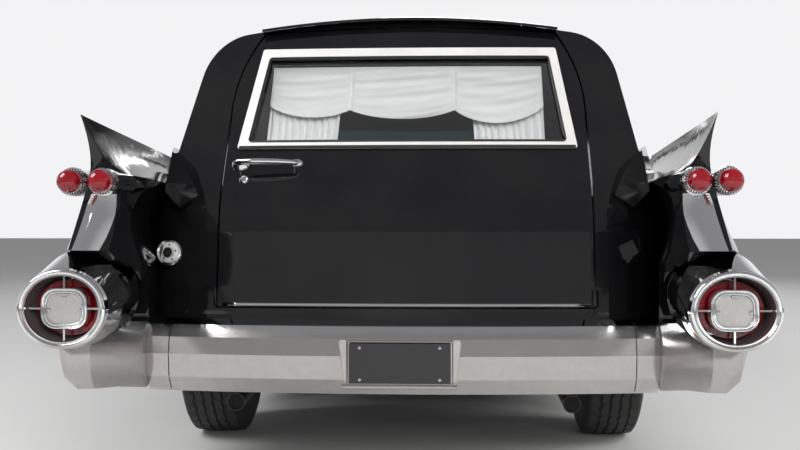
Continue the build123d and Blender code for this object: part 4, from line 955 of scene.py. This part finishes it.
def seat_pad(name, outline, cap):
    """A padded block from a side outline, blown up by cap at most, then creased by sewn channels."""
    b = Build()
    b.grid([[(x, y, z) for y, z in outline] for x in (-PAD_HALF, PAD_HALF)], close=True)
    count = len(outline)
    b.cap(0, count)
    b.cap(count, count, flip=True)
    obj = b.done(name, "seat_cloth")
    bm = bmesh.new()
    bm.from_mesh(obj.data)
    bmesh.ops.recalc_face_normals(bm, faces=bm.faces)
    bm.to_mesh(obj.data)
    bm.free()
    bpy.context.view_layer.objects.active = obj
    voxel = obj.modifiers.new("remesh", "REMESH")
    voxel.mode = "VOXEL"
    voxel.voxel_size = 0.012
    graph = bpy.context.evaluated_depsgraph_get()
    mesh = bpy.data.meshes.new_from_object(obj.evaluated_get(graph))
    obj.modifiers.clear()
    obj.data = mesh
    start = [v.co.copy() for v in mesh.vertices]
    cloth_mod = obj.modifiers.new("fill", "CLOTH")
    cloth_mod.settings.use_pressure = True
    cloth_mod.settings.uniform_pressure_force = 4
    cloth_mod.settings.effector_weights.gravity = 0
    cloth_mod.settings.quality = 5
    for frame_number in range(1, FILL_FRAMES + 1):
        scene.frame_set(frame_number)
    graph = bpy.context.evaluated_depsgraph_get()
    blown = obj.evaluated_get(graph).to_mesh()
    moved = [v.co.copy() for v in blown.vertices]
    obj.evaluated_get(graph).to_mesh_clear()
    obj.modifiers.clear()
    scene.frame_set(1)
    for vertex, a, c in zip(mesh.vertices, start, moved):
        step = c - a
        vertex.co = a + step * min(1.0, cap / max(step.length, 1e-6))
    middle_y, middle_z = sum(y for y, _ in outline) / count, sum(z for _, z in outline) / count
    for vertex in mesh.vertices:
        x = vertex.co.x
        groove = min(abs(x - (i / CHANNELS * 2 - 1) * PAD_HALF) for i in range(1, CHANNELS))
        pull = 0.006 * math.exp(-(groove / 0.008) ** 2)
        centre = Vector((x, middle_y, middle_z))
        vertex.co -= (vertex.co - centre).normalized() * pull
    smooth = obj.modifiers.new("subdivide", "SUBSURF")
    smooth.levels = smooth.render_levels = 1
    graph = bpy.context.evaluated_depsgraph_get()
    finished = bpy.data.meshes.new_from_object(obj.evaluated_get(graph))
    obj.modifiers.clear()
    obj.data = finished
    for polygon in finished.polygons:
        polygon.use_smooth = True
    return obj


cushion = seat_pad("seat_cushion", [(0.310, 0.486), (0.762, 0.486), (0.780, 0.506), (0.762, 0.524), (0.322, 0.538)],
                   0.020)
seat_pad("seat_back", [(0.190, 0.560), (0.308, 0.580), (0.298, 0.640), (0.208, 0.955), (0.142, 0.955)], 0.016)
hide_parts("front_seat")
b = Build()
for x0, x1 in ((-SHELL_HALF, -0.105), (0.105, SHELL_HALF)):
    b.box((x0, 0.192, 0.292), (x1, 0.760, 0.468))
b.box((-SHELL_HALF, 0.192, 0.469), (SHELL_HALF, 0.775, 0.479))
base = b.grid([[(x, 0.172, 0.470), (x, 0.192, 0.470), (x, 0.134, 0.972), (x, 0.114, 0.972)]
               for x in (-SHELL_HALF, SHELL_HALF)], close=True)
b.cap(base, 4, flip=True)
b.cap(base + 4, 4)
b.done("seat_shell", "cabin_trim")
